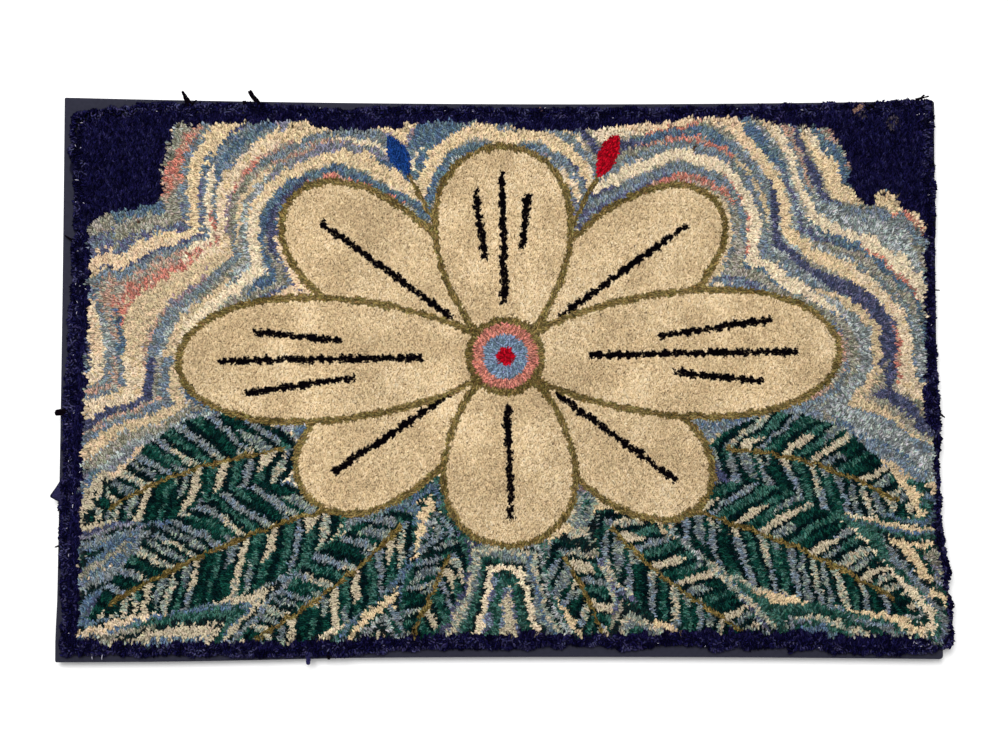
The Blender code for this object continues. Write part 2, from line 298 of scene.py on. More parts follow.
def tube(line: Array, radius: Array, sides: int, colour: Array) -> Form:
    """A closed tube along a line.

    Formula: at each point of the line stands a ring square to it, of that radius, and a fan closes each
    end.

    Args:
        line: the points that it follows.
        radius: its radius at each of them.
        sides: how many sides it has.
        colour: its colour.

    Returns:
        The tube's arrays.
    """
    count = len(line)
    way = np.gradient(line, axis=0)
    way /= np.linalg.norm(way, axis=1)[:, None]
    steep = np.abs(way[:, 2:]) > 0.9
    up = np.where(steep, [[1.0, 0, 0]], [[0, 0, 1.0]])
    side = np.cross(way, up)
    side /= np.linalg.norm(side, axis=1)[:, None]
    lift = np.cross(side, way)
    turn = np.arange(sides) * math.tau / sides
    ring = side[:, None] * np.cos(turn)[None, :, None] + lift[:, None] * np.sin(turn)[None, :, None]
    points = line[:, None] + ring * radius[:, None, None]
    i, j = np.meshgrid(np.arange(count - 1), np.arange(sides), indexing="ij")
    after = (j + 1) % sides
    walls = np.stack([i * sides + j, (i + 1) * sides + j, (i + 1) * sides + after, i * sides + after], -1)
    k = np.arange(sides)
    end = (count - 1) * sides
    start_fan = np.stack([np.full(sides, count * sides), k, (k + 1) % sides], axis=1)
    end_fan = np.stack([np.full(sides, count * sides + 1), end + (k + 1) % sides, end + k], axis=1)
    everything = np.concatenate([points.reshape(-1, 3), line[:1], line[-1:]])
    colours = np.tile(colour, (len(everything), 1))
    return Form(everything, (walls.reshape(-1, 4), np.concatenate([start_fan, end_fan])), colours)


def closed_sheet(x: Array, y: Array, lower: Array, upper: Array, colour: Array) -> Form:
    """A closed sheet over a grid of places.

    Formula: a lower and an upper grid at the same places, joined by walls along their rims.

    Args:
        x: the grid's places along X, first along +X and then along +Y.
        y: its places along Y.
        lower: the heights of its underside.
        upper: the heights of its top.
        colour: the colour at each place, first of the grid's points in order.

    Returns:
        The sheet's arrays.
    """
    count = x.size
    index = np.arange(count).reshape(x.shape)
    quads = np.stack([index[:-1, :-1], index[1:, :-1], index[1:, 1:], index[:-1, 1:]], axis=-1)
    quads = quads.reshape(-1, 4)
    rim = np.concatenate([index[:-1, 0], index[-1, :-1], index[:0:-1, -1], index[0, :0:-1]])
    after = np.roll(rim, -1)
    walls = np.stack([rim, after, after + count, rim + count], axis=1)
    points = np.concatenate([np.stack([x, y, z], axis=-1).reshape(-1, 3) for z in (lower, upper)])
    return Form(points, (quads[:, ::-1], walls, quads + count), np.concatenate([colour, colour]))


def new_piece(name: str, form: Form, material: Material) -> Piece:
    """A smooth mesh object that rides on the rug's body.

    Its bake map looks straight down on it: u and v are the shares of the way along its box.

    Args:
        name: the piece's name.
        form: its arrays.
        material: its finish.

    Returns:
        The new object.
    """
    mesh = bpy.data.meshes.new(name)
    corners = np.concatenate([group.ravel() for group in form.faces])
    sizes = np.concatenate([np.full(len(group), group.shape[1]) for group in form.faces])
    starts = np.concatenate([[0], np.cumsum(sizes)[:-1]])
    mesh.vertices.add(len(form.points))
    mesh.vertices.foreach_set("co", form.points.ravel().astype(np.float32))
    mesh.loops.add(len(corners))
    mesh.loops.foreach_set("vertex_index", corners.astype(np.int32))
    mesh.polygons.add(len(sizes))
    mesh.polygons.foreach_set("loop_start", starts.astype(np.int32))
    mesh.polygons.foreach_set("use_smooth", np.ones(len(sizes), bool))
    mesh.update(calc_edges=True)
    layer = mesh.color_attributes.new(name=YARN_LAYER, type="FLOAT_COLOR", domain="POINT")
    opaque = np.concatenate([form.colours, np.ones((len(form.colours), 1))], axis=1)
    layer.data.foreach_set("color", opaque.ravel().astype(np.float32))
    low, high = form.points.min(axis=0), form.points.max(axis=0)
    shares = ((form.points - low) / (high - low))[corners, :2]
    mesh.uv_layers.new(name=BAKE_MAP).uv.foreach_set("vector", shares.ravel().astype(np.float32))
    mesh.materials.append(material)
    made = bpy.data.objects.new(name, mesh)
    bpy.context.scene.collection.objects.link(made)
    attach(made, BODY)
    LOG.info("%s: %d points, %d triangles", name, len(form.points), int((sizes - 2).sum()))
    return made


# ---- Finishes ----


def new_finish(name: str) -> tuple[Tree, Node]:
    """A new node material's tree, which belongs to a material of that name, and its shader."""
    material = bpy.data.materials.new(name)
    material.use_nodes = True
    tree = material.node_tree
    return tree, tree.nodes["Principled BSDF"]


def connect(tree: Tree, socket: Socket, value: object) -> None:
    """Links an output to a socket, or sets the socket to a plain value."""
    if isinstance(value, Socket):
        tree.links.new(value, socket)
    else:
        socket.default_value = value


def feed(tree: Tree, node: Node, **inputs: object) -> Node:
    """Feeds a node.

    Args:
        tree: where it is.
        node: the node.
        inputs: its sockets' values or the outputs that feed them, with _ for a space in a name.

    Returns:
        The same node.
    """
    for name, value in inputs.items():
        connect(tree, node.inputs[name.replace("_", " ")], value)
    return node


def add_node(tree: Tree, kind: str, **inputs: object) -> Node:
    """A new node of that Blender type, fed as in feed."""
    return feed(tree, tree.nodes.new(kind), **inputs)


def noise(tree: Tree, place: Socket, scale: float, detail: float) -> Socket:
    """Cloudy noise over the piece."""
    return add_node(tree, "ShaderNodeTexNoise", Vector=place, Scale=scale, Detail=detail).outputs["Fac"]


def spread(tree: Tree, value: Socket, among: Pair, to: Pair = (0.0, 1.0)) -> Socket:
    """A value's own range, spread evenly to another one and cut off at its ends."""
    made = add_node(tree, "ShaderNodeMapRange", Value=value, From_Min=among[0], From_Max=among[1])
    return feed(tree, made, To_Min=to[0], To_Max=to[1]).outputs["Result"]


def shades(tree: Tree, clouds: Socket, to: Pair) -> Socket:
    """A noise's middle range, spread to a range of shades."""
    return spread(tree, clouds, (0.3, 0.7), to)


def blended(tree: Tree, share: Socket | float, first: object, second: object, way: str = "") -> Socket:
    """A blend of two numbers, or of two colours where the way is given.

    Args:
        tree: where the node goes.
        share: how much the second counts.
        first: an output or a plain value.
        second: the same.
        way: how colours are blended, as Blender names it.

    Returns:
        The blend.
    """
    mix = tree.nodes.new("ShaderNodeMix")
    # A mix node has sockets for each data type: those of numbers start at 2, and those of colours at 6
    start, result = 2, 0
    if way:
        mix.data_type = "RGBA"
        mix.blend_type = way
        start, result = 6, 2
    for index, value in ((0, share), (start, first), (start + 1, second)):
        connect(tree, mix.inputs[index], value)
    return mix.outputs[result]


def tinted(tree: Tree, colour: Socket, shade: Socket) -> Socket:
    """The colour multiplied by a grey shade."""
    return blended(tree, 1.0, colour, shade, "MULTIPLY")


@dataclass(frozen=True)
class WoolFinish:
    """Cut wool: each tuft's own yarn colour, clouded a little, with fine fibres and a faint sheen.

    Dark yarns are heathered: their fibres differ more in lightness than a pale yarn's.
    """

    name: str
    sheen: float
    specular: float
    cloud_scale: float = 70.0
    clouds: Pair = (0.94, 1.05)
    heather_scale: float = 620.0
    dark_fibres: Pair = (0.55, 1.5)
    pale_fibres: Pair = (0.95, 1.04)
    dark_to_pale: Pair = (0.16, 0.55)
    fibre_scale: float = 1500.0
    fibre_depth: float = 0.2 * MM
    fibre_strength: float = 0.5
    roughness: Pair = (0.85, 1.0)
    sheen_roughness: float = 0.5

    def material(self) -> Material:
        """The finish as a node material."""
        tree, shader = new_finish(self.name)
        place = add_node(tree, "ShaderNodeTexCoord").outputs["Object"]
        attribute = tree.nodes.new("ShaderNodeAttribute")
        attribute.attribute_name = YARN_LAYER
        yarn = attribute.outputs["Color"]
        heathered = tinted(tree, yarn, self._heather(tree, place, yarn))
        clouds = shades(tree, noise(tree, place, self.cloud_scale, 3.0), self.clouds)
        fibres = noise(tree, place, self.fibre_scale, 2.0)
        bump = add_node(tree, "ShaderNodeBump", Height=fibres, Distance=self.fibre_depth)
        feed(tree, bump, Strength=self.fibre_strength)
        feed(tree, shader, Base_Color=tinted(tree, heathered, clouds), Normal=bump.outputs["Normal"])
        feed(tree, shader, Roughness=shades(tree, fibres, self.roughness), Specular_IOR_Level=self.specular)
        feed(tree, shader, Sheen_Weight=self.sheen, Sheen_Roughness=self.sheen_roughness)
        return bpy.data.materials[self.name]

    def _heather(self, tree: Tree, place: Socket, yarn: Socket) -> Socket:
        """The shade of single fibres, which differs more in the darker yarns."""
        light = add_node(tree, "ShaderNodeRGBToBW", Color=yarn).outputs["Val"]
        pale = spread(tree, light, self.dark_to_pale)
        fibres = noise(tree, place, self.heather_scale, 2.0)
        dark, fair = (shades(tree, fibres, to) for to in (self.dark_fibres, self.pale_fibres))
        return blended(tree, pale, dark, fair)


@dataclass(frozen=True)
class WovenFinish:
    """Plain woven cloth: warp and weft threads that pass over and under, with lint and clouding. Where a
    thread dips under, the cloth takes the darker gap colour, a painted shade between the threads.
    """

    name: str
    thread: Triple
    gap: Triple
    thread_pitch: float
    relief: float
    lint: Pair
    lint_scale: float = 260.0
    waviness: float = 1.5
    relief_strength: float = 0.7
    specular: float = 0.1
    roughness: float = 0.9

    def material(self) -> Material:
        """The finish as a node material."""
        tree, shader = new_finish(self.name)
        place = add_node(tree, "ShaderNodeTexCoord").outputs["Object"]
        # A wave texture of scale 1 has 20 radians to the metre
        scale = math.tau / (20 * self.thread_pitch)
        weave = tree.nodes.new("ShaderNodeMath")
        weave.operation = "MULTIPLY"
        for index, direction in enumerate(("X", "Y")):
            wave = add_node(tree, "ShaderNodeTexWave", Vector=place, Scale=scale)
            feed(tree, wave, Distortion=self.waviness, Detail=1.0)
            wave.bands_direction = direction
            connect(tree, weave.inputs[index], wave.outputs["Fac"])
        over = weave.outputs[0]
        gap, thread = ((*reflectance(colour), 1) for colour in (self.gap, self.thread))
        # Painted shade: the darker gap colour shows where the threads dip under each other
        cloth = blended(tree, over, gap, thread, "MIX")
        lint = shades(tree, noise(tree, place, self.lint_scale, 4.0), self.lint)
        bump = add_node(tree, "ShaderNodeBump", Height=over, Distance=self.relief)
        feed(tree, bump, Strength=self.relief_strength)
        feed(tree, shader, Base_Color=tinted(tree, cloth, lint), Normal=bump.outputs["Normal"])
        feed(tree, shader, Roughness=self.roughness, Specular_IOR_Level=self.specular)
        return bpy.data.materials[self.name]


@dataclass(frozen=True)
class FloorFinish:
    """The plain pale floor."""

    name: str = "pale floor"
    colour: Triple = (0.97, 0.97, 0.97)
    roughness: float = 0.95

    def material(self) -> Material:
        """The finish as a node material."""
        tree, shader = new_finish(self.name)
        feed(tree, shader, Base_Color=(*self.colour, 1), Roughness=self.roughness, Specular_IOR_Level=0.0)
        return bpy.data.materials[self.name]


WOOL = WoolFinish(name="cut wool pile", sheen=0.04, specular=0.06)
DARK_WOOL = WoolFinish(name="dark wool pile", sheen=0.0, specular=0.02)
BOARD_CLOTH = WovenFinish(
    name="charcoal board cloth",
    thread=(55, 56, 70),
    gap=(43, 43, 56),
    thread_pitch=0.7 * MM,
    relief=0.08 * MM,
    lint=(0.88, 1.10),
)
BURLAP = WovenFinish(
    name="burlap foundation",
    thread=(244, 208, 188),
    gap=(122, 84, 64),
    thread_pitch=1.5 * MM,
    relief=0.4 * MM,
    lint=(0.32, 1.15),
    lint_scale=380.0,
)
COTTON = WovenFinish(
    name="white cotton thread",
    thread=(232, 230, 240),
    gap=(190, 187, 206),
    thread_pitch=0.4 * MM,
    relief=0.1 * MM,
    lint=(0.8, 1.05),
)


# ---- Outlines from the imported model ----


class Side(Enum):
    """A side of the rug or the board, and the direction out of it."""

    TOP = (0, 1)
    RIGHT = (1, 0)
    BOTTOM = (0, -1)
    LEFT = (-1, 0)

    @property
    def run(self) -> int:
        """The axis that the side runs along."""
        return 0 if self.value[1] else 1


def packed_points(node: str) -> Array:
    """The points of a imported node, each once."""
    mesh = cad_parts[node].data
    flat = np.empty(len(mesh.vertices) * 3, np.float32)
    mesh.vertices.foreach_get("co", flat)
    return np.unique(flat.reshape(-1, 3).astype(float).round(6), axis=0)


@dataclass(frozen=True)
class Outline:
    """A plan with four slightly bent sides.

    Args:
        ring: its points, anticlockwise, a row of x and y each.
        corner: how much of a side its round corner takes.
    """

    ring: Array
    corner: float

    @classmethod
    def around(cls, points: Array, corner: float) -> "Outline":
        """The outline through points in any order: they are sorted by their direction from its middle."""
        plan = points[:, :2]
        from_middle = plan - (plan.min(axis=0) + plan.max(axis=0)) / 2
        turn = np.argsort(np.arctan2(from_middle[:, 1], from_middle[:, 0]))
        return cls(plan[turn], corner)

    def edge(self, side: Side, along: Array) -> Array:
        """Where the outline is, at places along a side.

        Args:
            side: the side.
            along: x for the top and bottom sides, and y for the others.

        Returns:
            y for the top and bottom sides, and x for the others.
        """
        run, rise = side.run, 1 - side.run
        out = side.value[rise]
        middle = (self.ring.min(axis=0) + self.ring.max(axis=0)) / 2
        reach = np.abs(self.ring - middle).max(axis=0)
        far = (self.ring - middle)[:, rise] * out > 0.8 * reach[rise]
        row = self.ring[far & (np.abs(self.ring - middle)[:, run] < reach[run] - self.corner)]
        row = row[np.argsort(row[:, run])]
        return np.interp(along, row[:, run], row[:, rise])

    def insets(self, x: Array, y: Array) -> dict[Side, Array]:
        """How far points lie inside each side."""
        return {
            Side.TOP: self.edge(Side.TOP, x) - y,
            Side.RIGHT: self.edge(Side.RIGHT, y) - x,
            Side.BOTTOM: y - self.edge(Side.BOTTOM, x),
            Side.LEFT: x - self.edge(Side.LEFT, y),
        }

    def inset(self, x: Array, y: Array) -> Array:
        """How far points lie inside the nearest side."""
        return np.minimum.reduce(list(self.insets(x, y).values()))

    def walk(self, pitch: float, smooth: float = 7 * MM) -> tuple[Array, Array]:
        """Points at even steps round the outline, and the directions out of it.

        Formula: the ring is read at even lengths, and the way out is its chord over a smoothing length,
        turned a quarter clockwise.

        Args:
            pitch: between neighbouring points.
            smooth: half the length of the chord.

        Returns:
            The points and the outward directions, a row of x and y each.
        """
        ring = np.concatenate([self.ring, self.ring[:1]])
        length = np.concatenate([[0], np.cumsum(np.linalg.norm(np.diff(ring, axis=0), axis=1))])
        count = int(length[-1] / pitch)
        at = np.arange(count) * length[-1] / count

        def read(where: Array) -> Array:
            """The ring at a length round it."""
            where = where % length[-1]
            return np.stack([np.interp(where, length, ring[:, k]) for k in (0, 1)], axis=1)

        chord = read(at + smooth) - read(at - smooth)
        out = np.stack([chord[:, 1], -chord[:, 0]], axis=1)
        return read(at), out / np.linalg.norm(out, axis=1)[:, None]


@dataclass
class MountingBoard:
    """The cloth-covered board under the rug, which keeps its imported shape."""

    length: float = 965.5 * MM
    width: float = 617.8 * MM
    rim_height: float = 19.1 * MM
    rim_slack: float = 0.05 * MM
    corner: float = 1 * MM

    def __post_init__(self) -> None:
        """Finds the board's outline and its middle, measured from its straight right and top ends."""
        points = packed_points("mounting_board")
        at_rim = np.abs(points[:, 2] - self.rim_height) < self.rim_slack
        self.outline = Outline.around(points[at_rim], self.corner)
        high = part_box("mounting_board")[1]
        self.middle = (high.x - self.length / 2, high.y - self.width / 2)
        self.top = high.z

    def dress(self) -> None:
        """Gives the board its charcoal cloth."""
        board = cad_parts["mounting_board"]
        board.data.materials.clear()
        board.data.materials.append(BOARD_CLOTH.material())
        LOG.info("mounting_board: %s", BOARD_CLOTH.name)


@dataclass(frozen=True)
class RugForm:
    """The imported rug's form: its rim, and the swells of the pile.

    Args:
        rim: its outline where it reaches furthest out.
        back: the height of the rug's back.
        spots: points of the lumpy top.
        shoulder: how far above the back the rim reaches furthest out.
        shoulder_slack: how far off that height its points may be.
        corner: how much of a side its round corner takes.
        smoothing: how far the swells are blended.
    """

    rim: Outline
    back: float
    spots: Array
    shoulder: float = 4.5 * MM
    shoulder_slack: float = 0.02 * MM
    corner: float = 10 * MM
    smoothing: float = 16 * MM

    @classmethod
    def packed(cls) -> "RugForm":
        """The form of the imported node."""
        points = packed_points("rug")
        back = points[:, 2].min()
        ring = points[np.abs(points[:, 2] - back - cls.shoulder) < cls.shoulder_slack]
        above = points[:, 2] > back + 1.6 * cls.shoulder
        return cls(Outline.around(ring, cls.corner), back, points[above])

    def swell(self, x: Array, y: Array) -> Array:
        """The height of the pile's tips over the back, without the rim's rounding.

        Formula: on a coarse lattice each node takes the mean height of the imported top's points, weighted by
        a bell curve of their distance, and a point takes the blend of the four nodes round it.

        Args:
            x, y: places along X and Y.

        Returns:
            The heights.
        """
        step = self.smoothing
        low = self.rim.ring.min(axis=0) - step
        count = np.ceil((self.rim.ring.max(axis=0) + step - low) / step).astype(int) + 1
        across, up = (low[k] + step * np.arange(count[k]) for k in (0, 1))
        far = (across[:, None, None] - self.spots[:, 0]) ** 2 + (up[None, :, None] - self.spots[:, 1]) ** 2
        weight = np.exp(-far / (2 * self.smoothing**2)) + TINY
        heights = (weight * (self.spots[:, 2] - self.back)).sum(axis=2) / weight.sum(axis=2)
        u, v = (x - low[0]) / step, (y - low[1]) / step
        i = np.clip(np.floor(u).astype(int), 0, count[0] - 2)
        j = np.clip(np.floor(v).astype(int), 0, count[1] - 2)
        s, t = u - i, v - j
        lower = heights[i, j] * (1 - s) + heights[i + 1, j] * s
        upper = heights[i, j + 1] * (1 - s) + heights[i + 1, j + 1] * s
        return lower * (1 - t) + upper * t


# ---- Yarns ----


class Yarn(Enum):
    """The yarns, by the display colours that their tips show."""

    NAVY = (21, 19, 57)
    INK = (8, 6, 34)
    SOFT_NAVY = (38, 36, 75)
    FADED_NAVY = (47, 45, 80)
    WORN_NAVY = (66, 65, 98)
    CREAM = (243, 218, 177)
    MILK = (247, 229, 197)
    OAT = (242, 220, 188)
    IVORY = (248, 227, 190)
    LINEN = (225, 199, 157)
    DRAB = (205, 179, 139)
    BONE = (210, 196, 168)
    PEACH = (243, 214, 177)
    TAN = (219, 197, 160)
    STONE = (178, 172, 157)
    PALE_BLUE = (194, 200, 198)
    HEATHER = (138, 146, 145)
    SKY = (134, 156, 180)
    STEEL = (132, 148, 164)
    LAVENDER = (150, 148, 166)
    SLATE = (104, 105, 134)
    DEEP_BLUE = (92, 116, 144)
    GREY_TEAL = (112, 134, 142)
    DUSK = (74, 80, 110)
    KHAKI = (152, 149, 130)
    SALMON = (216, 140, 122)
    ROSE = (204, 166, 146)
    MAUVE = (172, 146, 150)
    OLIVE = (146, 126, 76)
    DARK_OLIVE = (114, 96, 52)
    BLACK = (7, 3, 8)
    SPRUCE = (4, 24, 29)
    BOTTLE = (8, 42, 40)
    EMERALD = (20, 70, 60)
    TEAL = (70, 114, 103)
    LICHEN = (160, 170, 156)
    GREY_LAVENDER = (116, 128, 134)
    RED = (190, 14, 36)
    ROYAL = (28, 66, 132)
    BROWN = (92, 68, 52)
    TAUPE = (66, 60, 70)
    BUFF = (120, 96, 92)


YARNS = tuple(Yarn)
YARN_COLOURS = np.array([reflectance(yarn.value) for yarn in YARNS])
# A scrap is plied or patched with a yarn of much the same lightness
COMPANIONS = {
    Yarn.CREAM: Yarn.LINEN,
    Yarn.MILK: Yarn.OAT,
    Yarn.OAT: Yarn.LINEN,
    Yarn.PEACH: Yarn.OAT,
    Yarn.TAN: Yarn.PEACH,
    Yarn.STONE: Yarn.KHAKI,
    Yarn.PALE_BLUE: Yarn.HEATHER,
    Yarn.HEATHER: Yarn.STEEL,
    Yarn.SKY: Yarn.STEEL,
    Yarn.STEEL: Yarn.HEATHER,
    Yarn.LAVENDER: Yarn.HEATHER,
    Yarn.SLATE: Yarn.STEEL,
    Yarn.DEEP_BLUE: Yarn.GREY_TEAL,
    Yarn.GREY_TEAL: Yarn.DEEP_BLUE,
    Yarn.DUSK: Yarn.SLATE,
    Yarn.KHAKI: Yarn.STONE,
    Yarn.SALMON: Yarn.ROSE,
    Yarn.ROSE: Yarn.STONE,
    Yarn.MAUVE: Yarn.LAVENDER,
    Yarn.OLIVE: Yarn.DARK_OLIVE,
    Yarn.BOTTLE: Yarn.SPRUCE,
    Yarn.SPRUCE: Yarn.BOTTLE,
    Yarn.EMERALD: Yarn.BOTTLE,
    Yarn.TEAL: Yarn.EMERALD,
    Yarn.LICHEN: Yarn.BONE,
    Yarn.GREY_LAVENDER: Yarn.LICHEN,
}
# The soft pale yarns, whose pile lies smooth
PALE = (
    Yarn.CREAM, Yarn.MILK, Yarn.OAT, Yarn.IVORY, Yarn.LINEN, Yarn.DRAB, Yarn.BONE, Yarn.PEACH, Yarn.TAN,
)


def number(yarn: Yarn) -> int:
    """A yarn's place in the table of colours."""
    return YARNS.index(yarn)


COMPANION_NUMBERS = np.array([number(COMPANIONS.get(yarn, yarn)) for yarn in YARNS])
IS_PALE = np.array([yarn in PALE for yarn in YARNS])


@dataclass(frozen=True)
class Share:
    """How often a family of yarns is picked."""

    yarns: tuple[Yarn, ...]
    weight: float


@dataclass(frozen=True)
class Band:
    """One band of a repeat.

    Args:
        shares: the families of its yarns.
        widths: its narrowest and widest, in millimetres.
        scraps: the shortest and longest run of one yarn along it, in metres.
        toothed: whether its teeth reach into the bands beside it.
    """

    shares: tuple[Share, ...]
    widths: Pair
    scraps: Pair
    toothed: bool = False


@dataclass(frozen=True)
class Stripes:
    """Bands of scrap yarn: each has its own width, and changes yarn where a scrap ran out.

    Args:
        repeat: the kinds of bands, one after the other, over and over.
        slant: how far a run's end leans along the band, for each metre across it.
        seed: picks the bands.
        bands: how many there are.
        runs: how many runs of one yarn each band has before they start again.
    """

    repeat: tuple[Band, ...]
    slant: float
    seed: int
    bands: int = 120
    runs: int = 60

    def _yarns(self, shares: tuple[Share, ...], draw: Random) -> Numbers:
        """A yarn for each run of each band, picked by their families' weights."""
        names = [number(yarn) for share in shares for yarn in share.yarns]
        chance = np.array([share.weight / len(share.yarns) for share in shares for _yarn in share.yarns])
        return draw.choice(names, (self.bands, self.runs), p=chance / chance.sum())

    def pick(self, across: Array, along: Array, teeth: Array) -> Numbers:
        """The yarn at each place. A plain band gives way to a toothed one within the teeth of their edge.

        Args:
            across: how far the place is across the bands, from 0.
            along: how far it is along them.
            teeth: how far the toothed bands' teeth reach there.

        Returns:
            The yarns' numbers.
        """
        draw = np.random.default_rng(self.seed)
        each = np.arange(self.bands)
        kind = each % len(self.repeat)
        table = np.stack([self._yarns(band.shares, draw) for band in self.repeat])[kind, each]
        widths = np.stack([draw.uniform(*band.widths, self.bands) for band in self.repeat])[kind, each] * MM
        lengths = np.stack([draw.uniform(*band.scraps, self.bands) for band in self.repeat])[kind, each]
        toothed = np.array([band.toothed for band in self.repeat])[kind]
        edges = np.cumsum(widths)
        starts = draw.uniform(0, 1, self.bands)
        leans = draw.choice([-1, 1], self.bands) * self.slant
        band = np.clip(np.searchsorted(edges, across), 0, self.bands - 1)
        for reach in (teeth, -teeth):
            beside = np.clip(np.searchsorted(edges, across + reach), 0, self.bands - 1)
            band = np.where(~toothed[band] & toothed[beside], beside, band)
        place = along + leans[band] * (across - edges[band])
        run = np.floor(place / lengths[band] + starts[band]).astype(int) % self.runs
        return table[band, run]


# ---- The pattern ----


class Region(IntEnum):
    """What is hooked at a place."""

    GROUND = 0
    LEAF = 1
    PETAL = 2
    OUTLINE = 3
    VEIN = 4
    HEART = 5
    BUD = 6
    BORDER = 7


@dataclass
class Hooking:
    """What is hooked at each of many places.

    Args:
        region: which part of the pattern.
        yarn: the yarn's number.
        heading: the direction of the hooking, in radians.
        spill: how far a tip flops over its neighbours, a row of x and y each.
    """

    region: Numbers
    yarn: Numbers
    heading: Array
    spill: Array

    @classmethod
    def plain(cls, count: int) -> "Hooking":
        """Places that nothing is hooked at yet."""
        return cls(np.zeros(count, int), np.zeros(count, int), np.zeros(count), np.zeros((count, 2)))

    def lay(self, mask: Mask, region: Region, yarn: Numbers | Yarn, heading: Array | float) -> None:
        """Hooks the places of a mask, over what is there."""
        yarn = number(yarn) if isinstance(yarn, Yarn) else yarn
        self.region[mask] = region
        self.yarn[mask] = np.broadcast_to(yarn, mask.shape)[mask]
        self.heading[mask] = np.broadcast_to(heading, mask.shape)[mask]

    def part(self, mask: Mask) -> "Hooking":
        """The places of a mask."""
        return Hooking(self.region[mask], self.yarn[mask], self.heading[mask], self.spill[mask])


def edge_distance(gap: Callable[[Array, Array], Array], x: Array, y: Array) -> Array:
    """How far points lie outside a shape's edge, about, and below 0 inside.

    Formula: a quantity that is 0 on the edge, divided by its slope, which is the differences to a probe
    along +X and to one along +Y over the probes' step. The slope counts as at least 1.

    Args:
        gap: the quantity, as a function of x and y.
        x, y: places along X and Y.

    Returns:
        The distances.
    """
    here = gap(x, y)
    slope = np.hypot(gap(x + PROBE, y) - here, gap(x, y + PROBE) - here) / PROBE
    return here / np.maximum(slope, 1.0)


@dataclass(frozen=True)
class Vein:
    """A dark line on a petal: the shares of its reach where it starts and ends, how far off the petal's
    middle it starts, and its slope from there."""

    start: float
    end: float
    offset: float = 0.0
    slope: float = 0.0


MIDRIB = (Vein(0.25, 0.86),)
THREE_VEINS = (
    Vein(0.25, 0.88),
    Vein(0.46, 0.80, 20 * MM, 0.13),
    Vein(0.50, 0.77, -20 * MM, -0.12),
)


class Motif:
    """A shape whose edge is where its gap is 0."""

    def gap(self, x: Array, y: Array) -> Array:
        """A quantity that is below 0 inside the shape and above 0 outside."""
        raise NotImplementedError

    def distance(self, x: Array, y: Array) -> Array:
        """How far outside the edge points lie, about, and below 0 inside."""
        return edge_distance(self.gap, x, y)


@dataclass(frozen=True)
class Petal(Motif):
    """A petal with a round tip, broadest past its middle.

    Args:
        angle: its direction, in degrees.
        reach: from the flower's middle to its tip.
        width: across it.
        veins: the dark lines on it.
        fullness: how much broader it is towards its tip.
        root: how far from the flower's middle it starts.
    """

    angle: float
    reach: float
    width: float
    veins: tuple[Vein, ...] = MIDRIB
    fullness: float = 0.24
    root: float = 12 * MM

    def local(self, x: Array, y: Array) -> tuple[Array, Array]:
        """Places along the petal from the flower's middle, and to its left."""
        return turned(x, y, math.radians(self.angle))

    def gap(self, x: Array, y: Array) -> Array:
        """How far out points are, as a share of the way from the petal's middle to its edge, less 1.

        Formula: the edge is an ellipse whose half width grows along it.

        Args:
            x, y: places along X and Y, from the flower's middle.

        Returns:
            The shares.
        """
        half_length = (self.reach - self.root) / 2
        u, v = self.local(x, y)
        along = (u - self.root - half_length) / half_length
        half_width = self.width / 2 * (1 + self.fullness * np.clip(along, -1.4, 1.4))
        return np.hypot(along, v / half_width) - 1


@dataclass(frozen=True)
class Leaf(Motif):
    """A pointed leaf on a bent midrib.

    Args:
        root: where it starts, from the flower's middle.
        tip: where it ends.
        width: across it.
        bend: how far the middle of its midrib stands to the left of the straight line.
    """

    root: Pair
    tip: Pair
    width: float
    bend: float

    @property
    def length(self) -> float:
        """From root to tip."""
        return math.dist(self.root, self.tip)

    @property
    def heading(self) -> float:
        """The direction from root to tip, in radians."""
        return math.atan2(self.tip[1] - self.root[1], self.tip[0] - self.root[0])

    def local(self, x: Array, y: Array) -> tuple[Array, Array]:
        """Places along the midrib from the root, and to its left."""
        u, v = turned(x - self.root[0], y - self.root[1], self.heading)
        part = np.clip(u / self.length, 0, 1)
        return u, v - self.bend * 4 * part * (1 - part)

    def gap(self, x: Array, y: Array) -> Array:
        """How far points are past the leaf's half width, or past its ends.

        Formula: half the width is the sine of half a turn along the midrib, moved towards the root and
        blunted by a power. Past an end, the straight distance counts.

        Args:
            x, y: places along X and Y, from the flower's middle.

        Returns:
            The gaps.
        """
        u, v = self.local(x, y)
        part = np.clip(u / self.length, 0, 1)
        beside = np.abs(v) - self.width / 2 * np.sin(math.pi * part**0.8) ** 0.85
        past = np.maximum(np.maximum(-u, u - self.length), 0)
        return np.hypot(np.maximum(beside, 0), past) + np.minimum(beside, 0)


@dataclass(frozen=True)
class Bud:
    """A small bud on an olive stem, straight out from the flower."""

    angle: float
    stem_start: float
    stem_end: float
    length: float
    width: float
    yarn: Yarn


@dataclass(frozen=True)
class Fleck:
    """A small stained or worn spot, or a hollow in the pile painted black as painted shade: its place from
    the board's middle, its radius in millimetres, its yarn, and the share of the tufts there that show it."""

    x: float
    y: float
    radius: float
    yarn: Yarn
    share: float


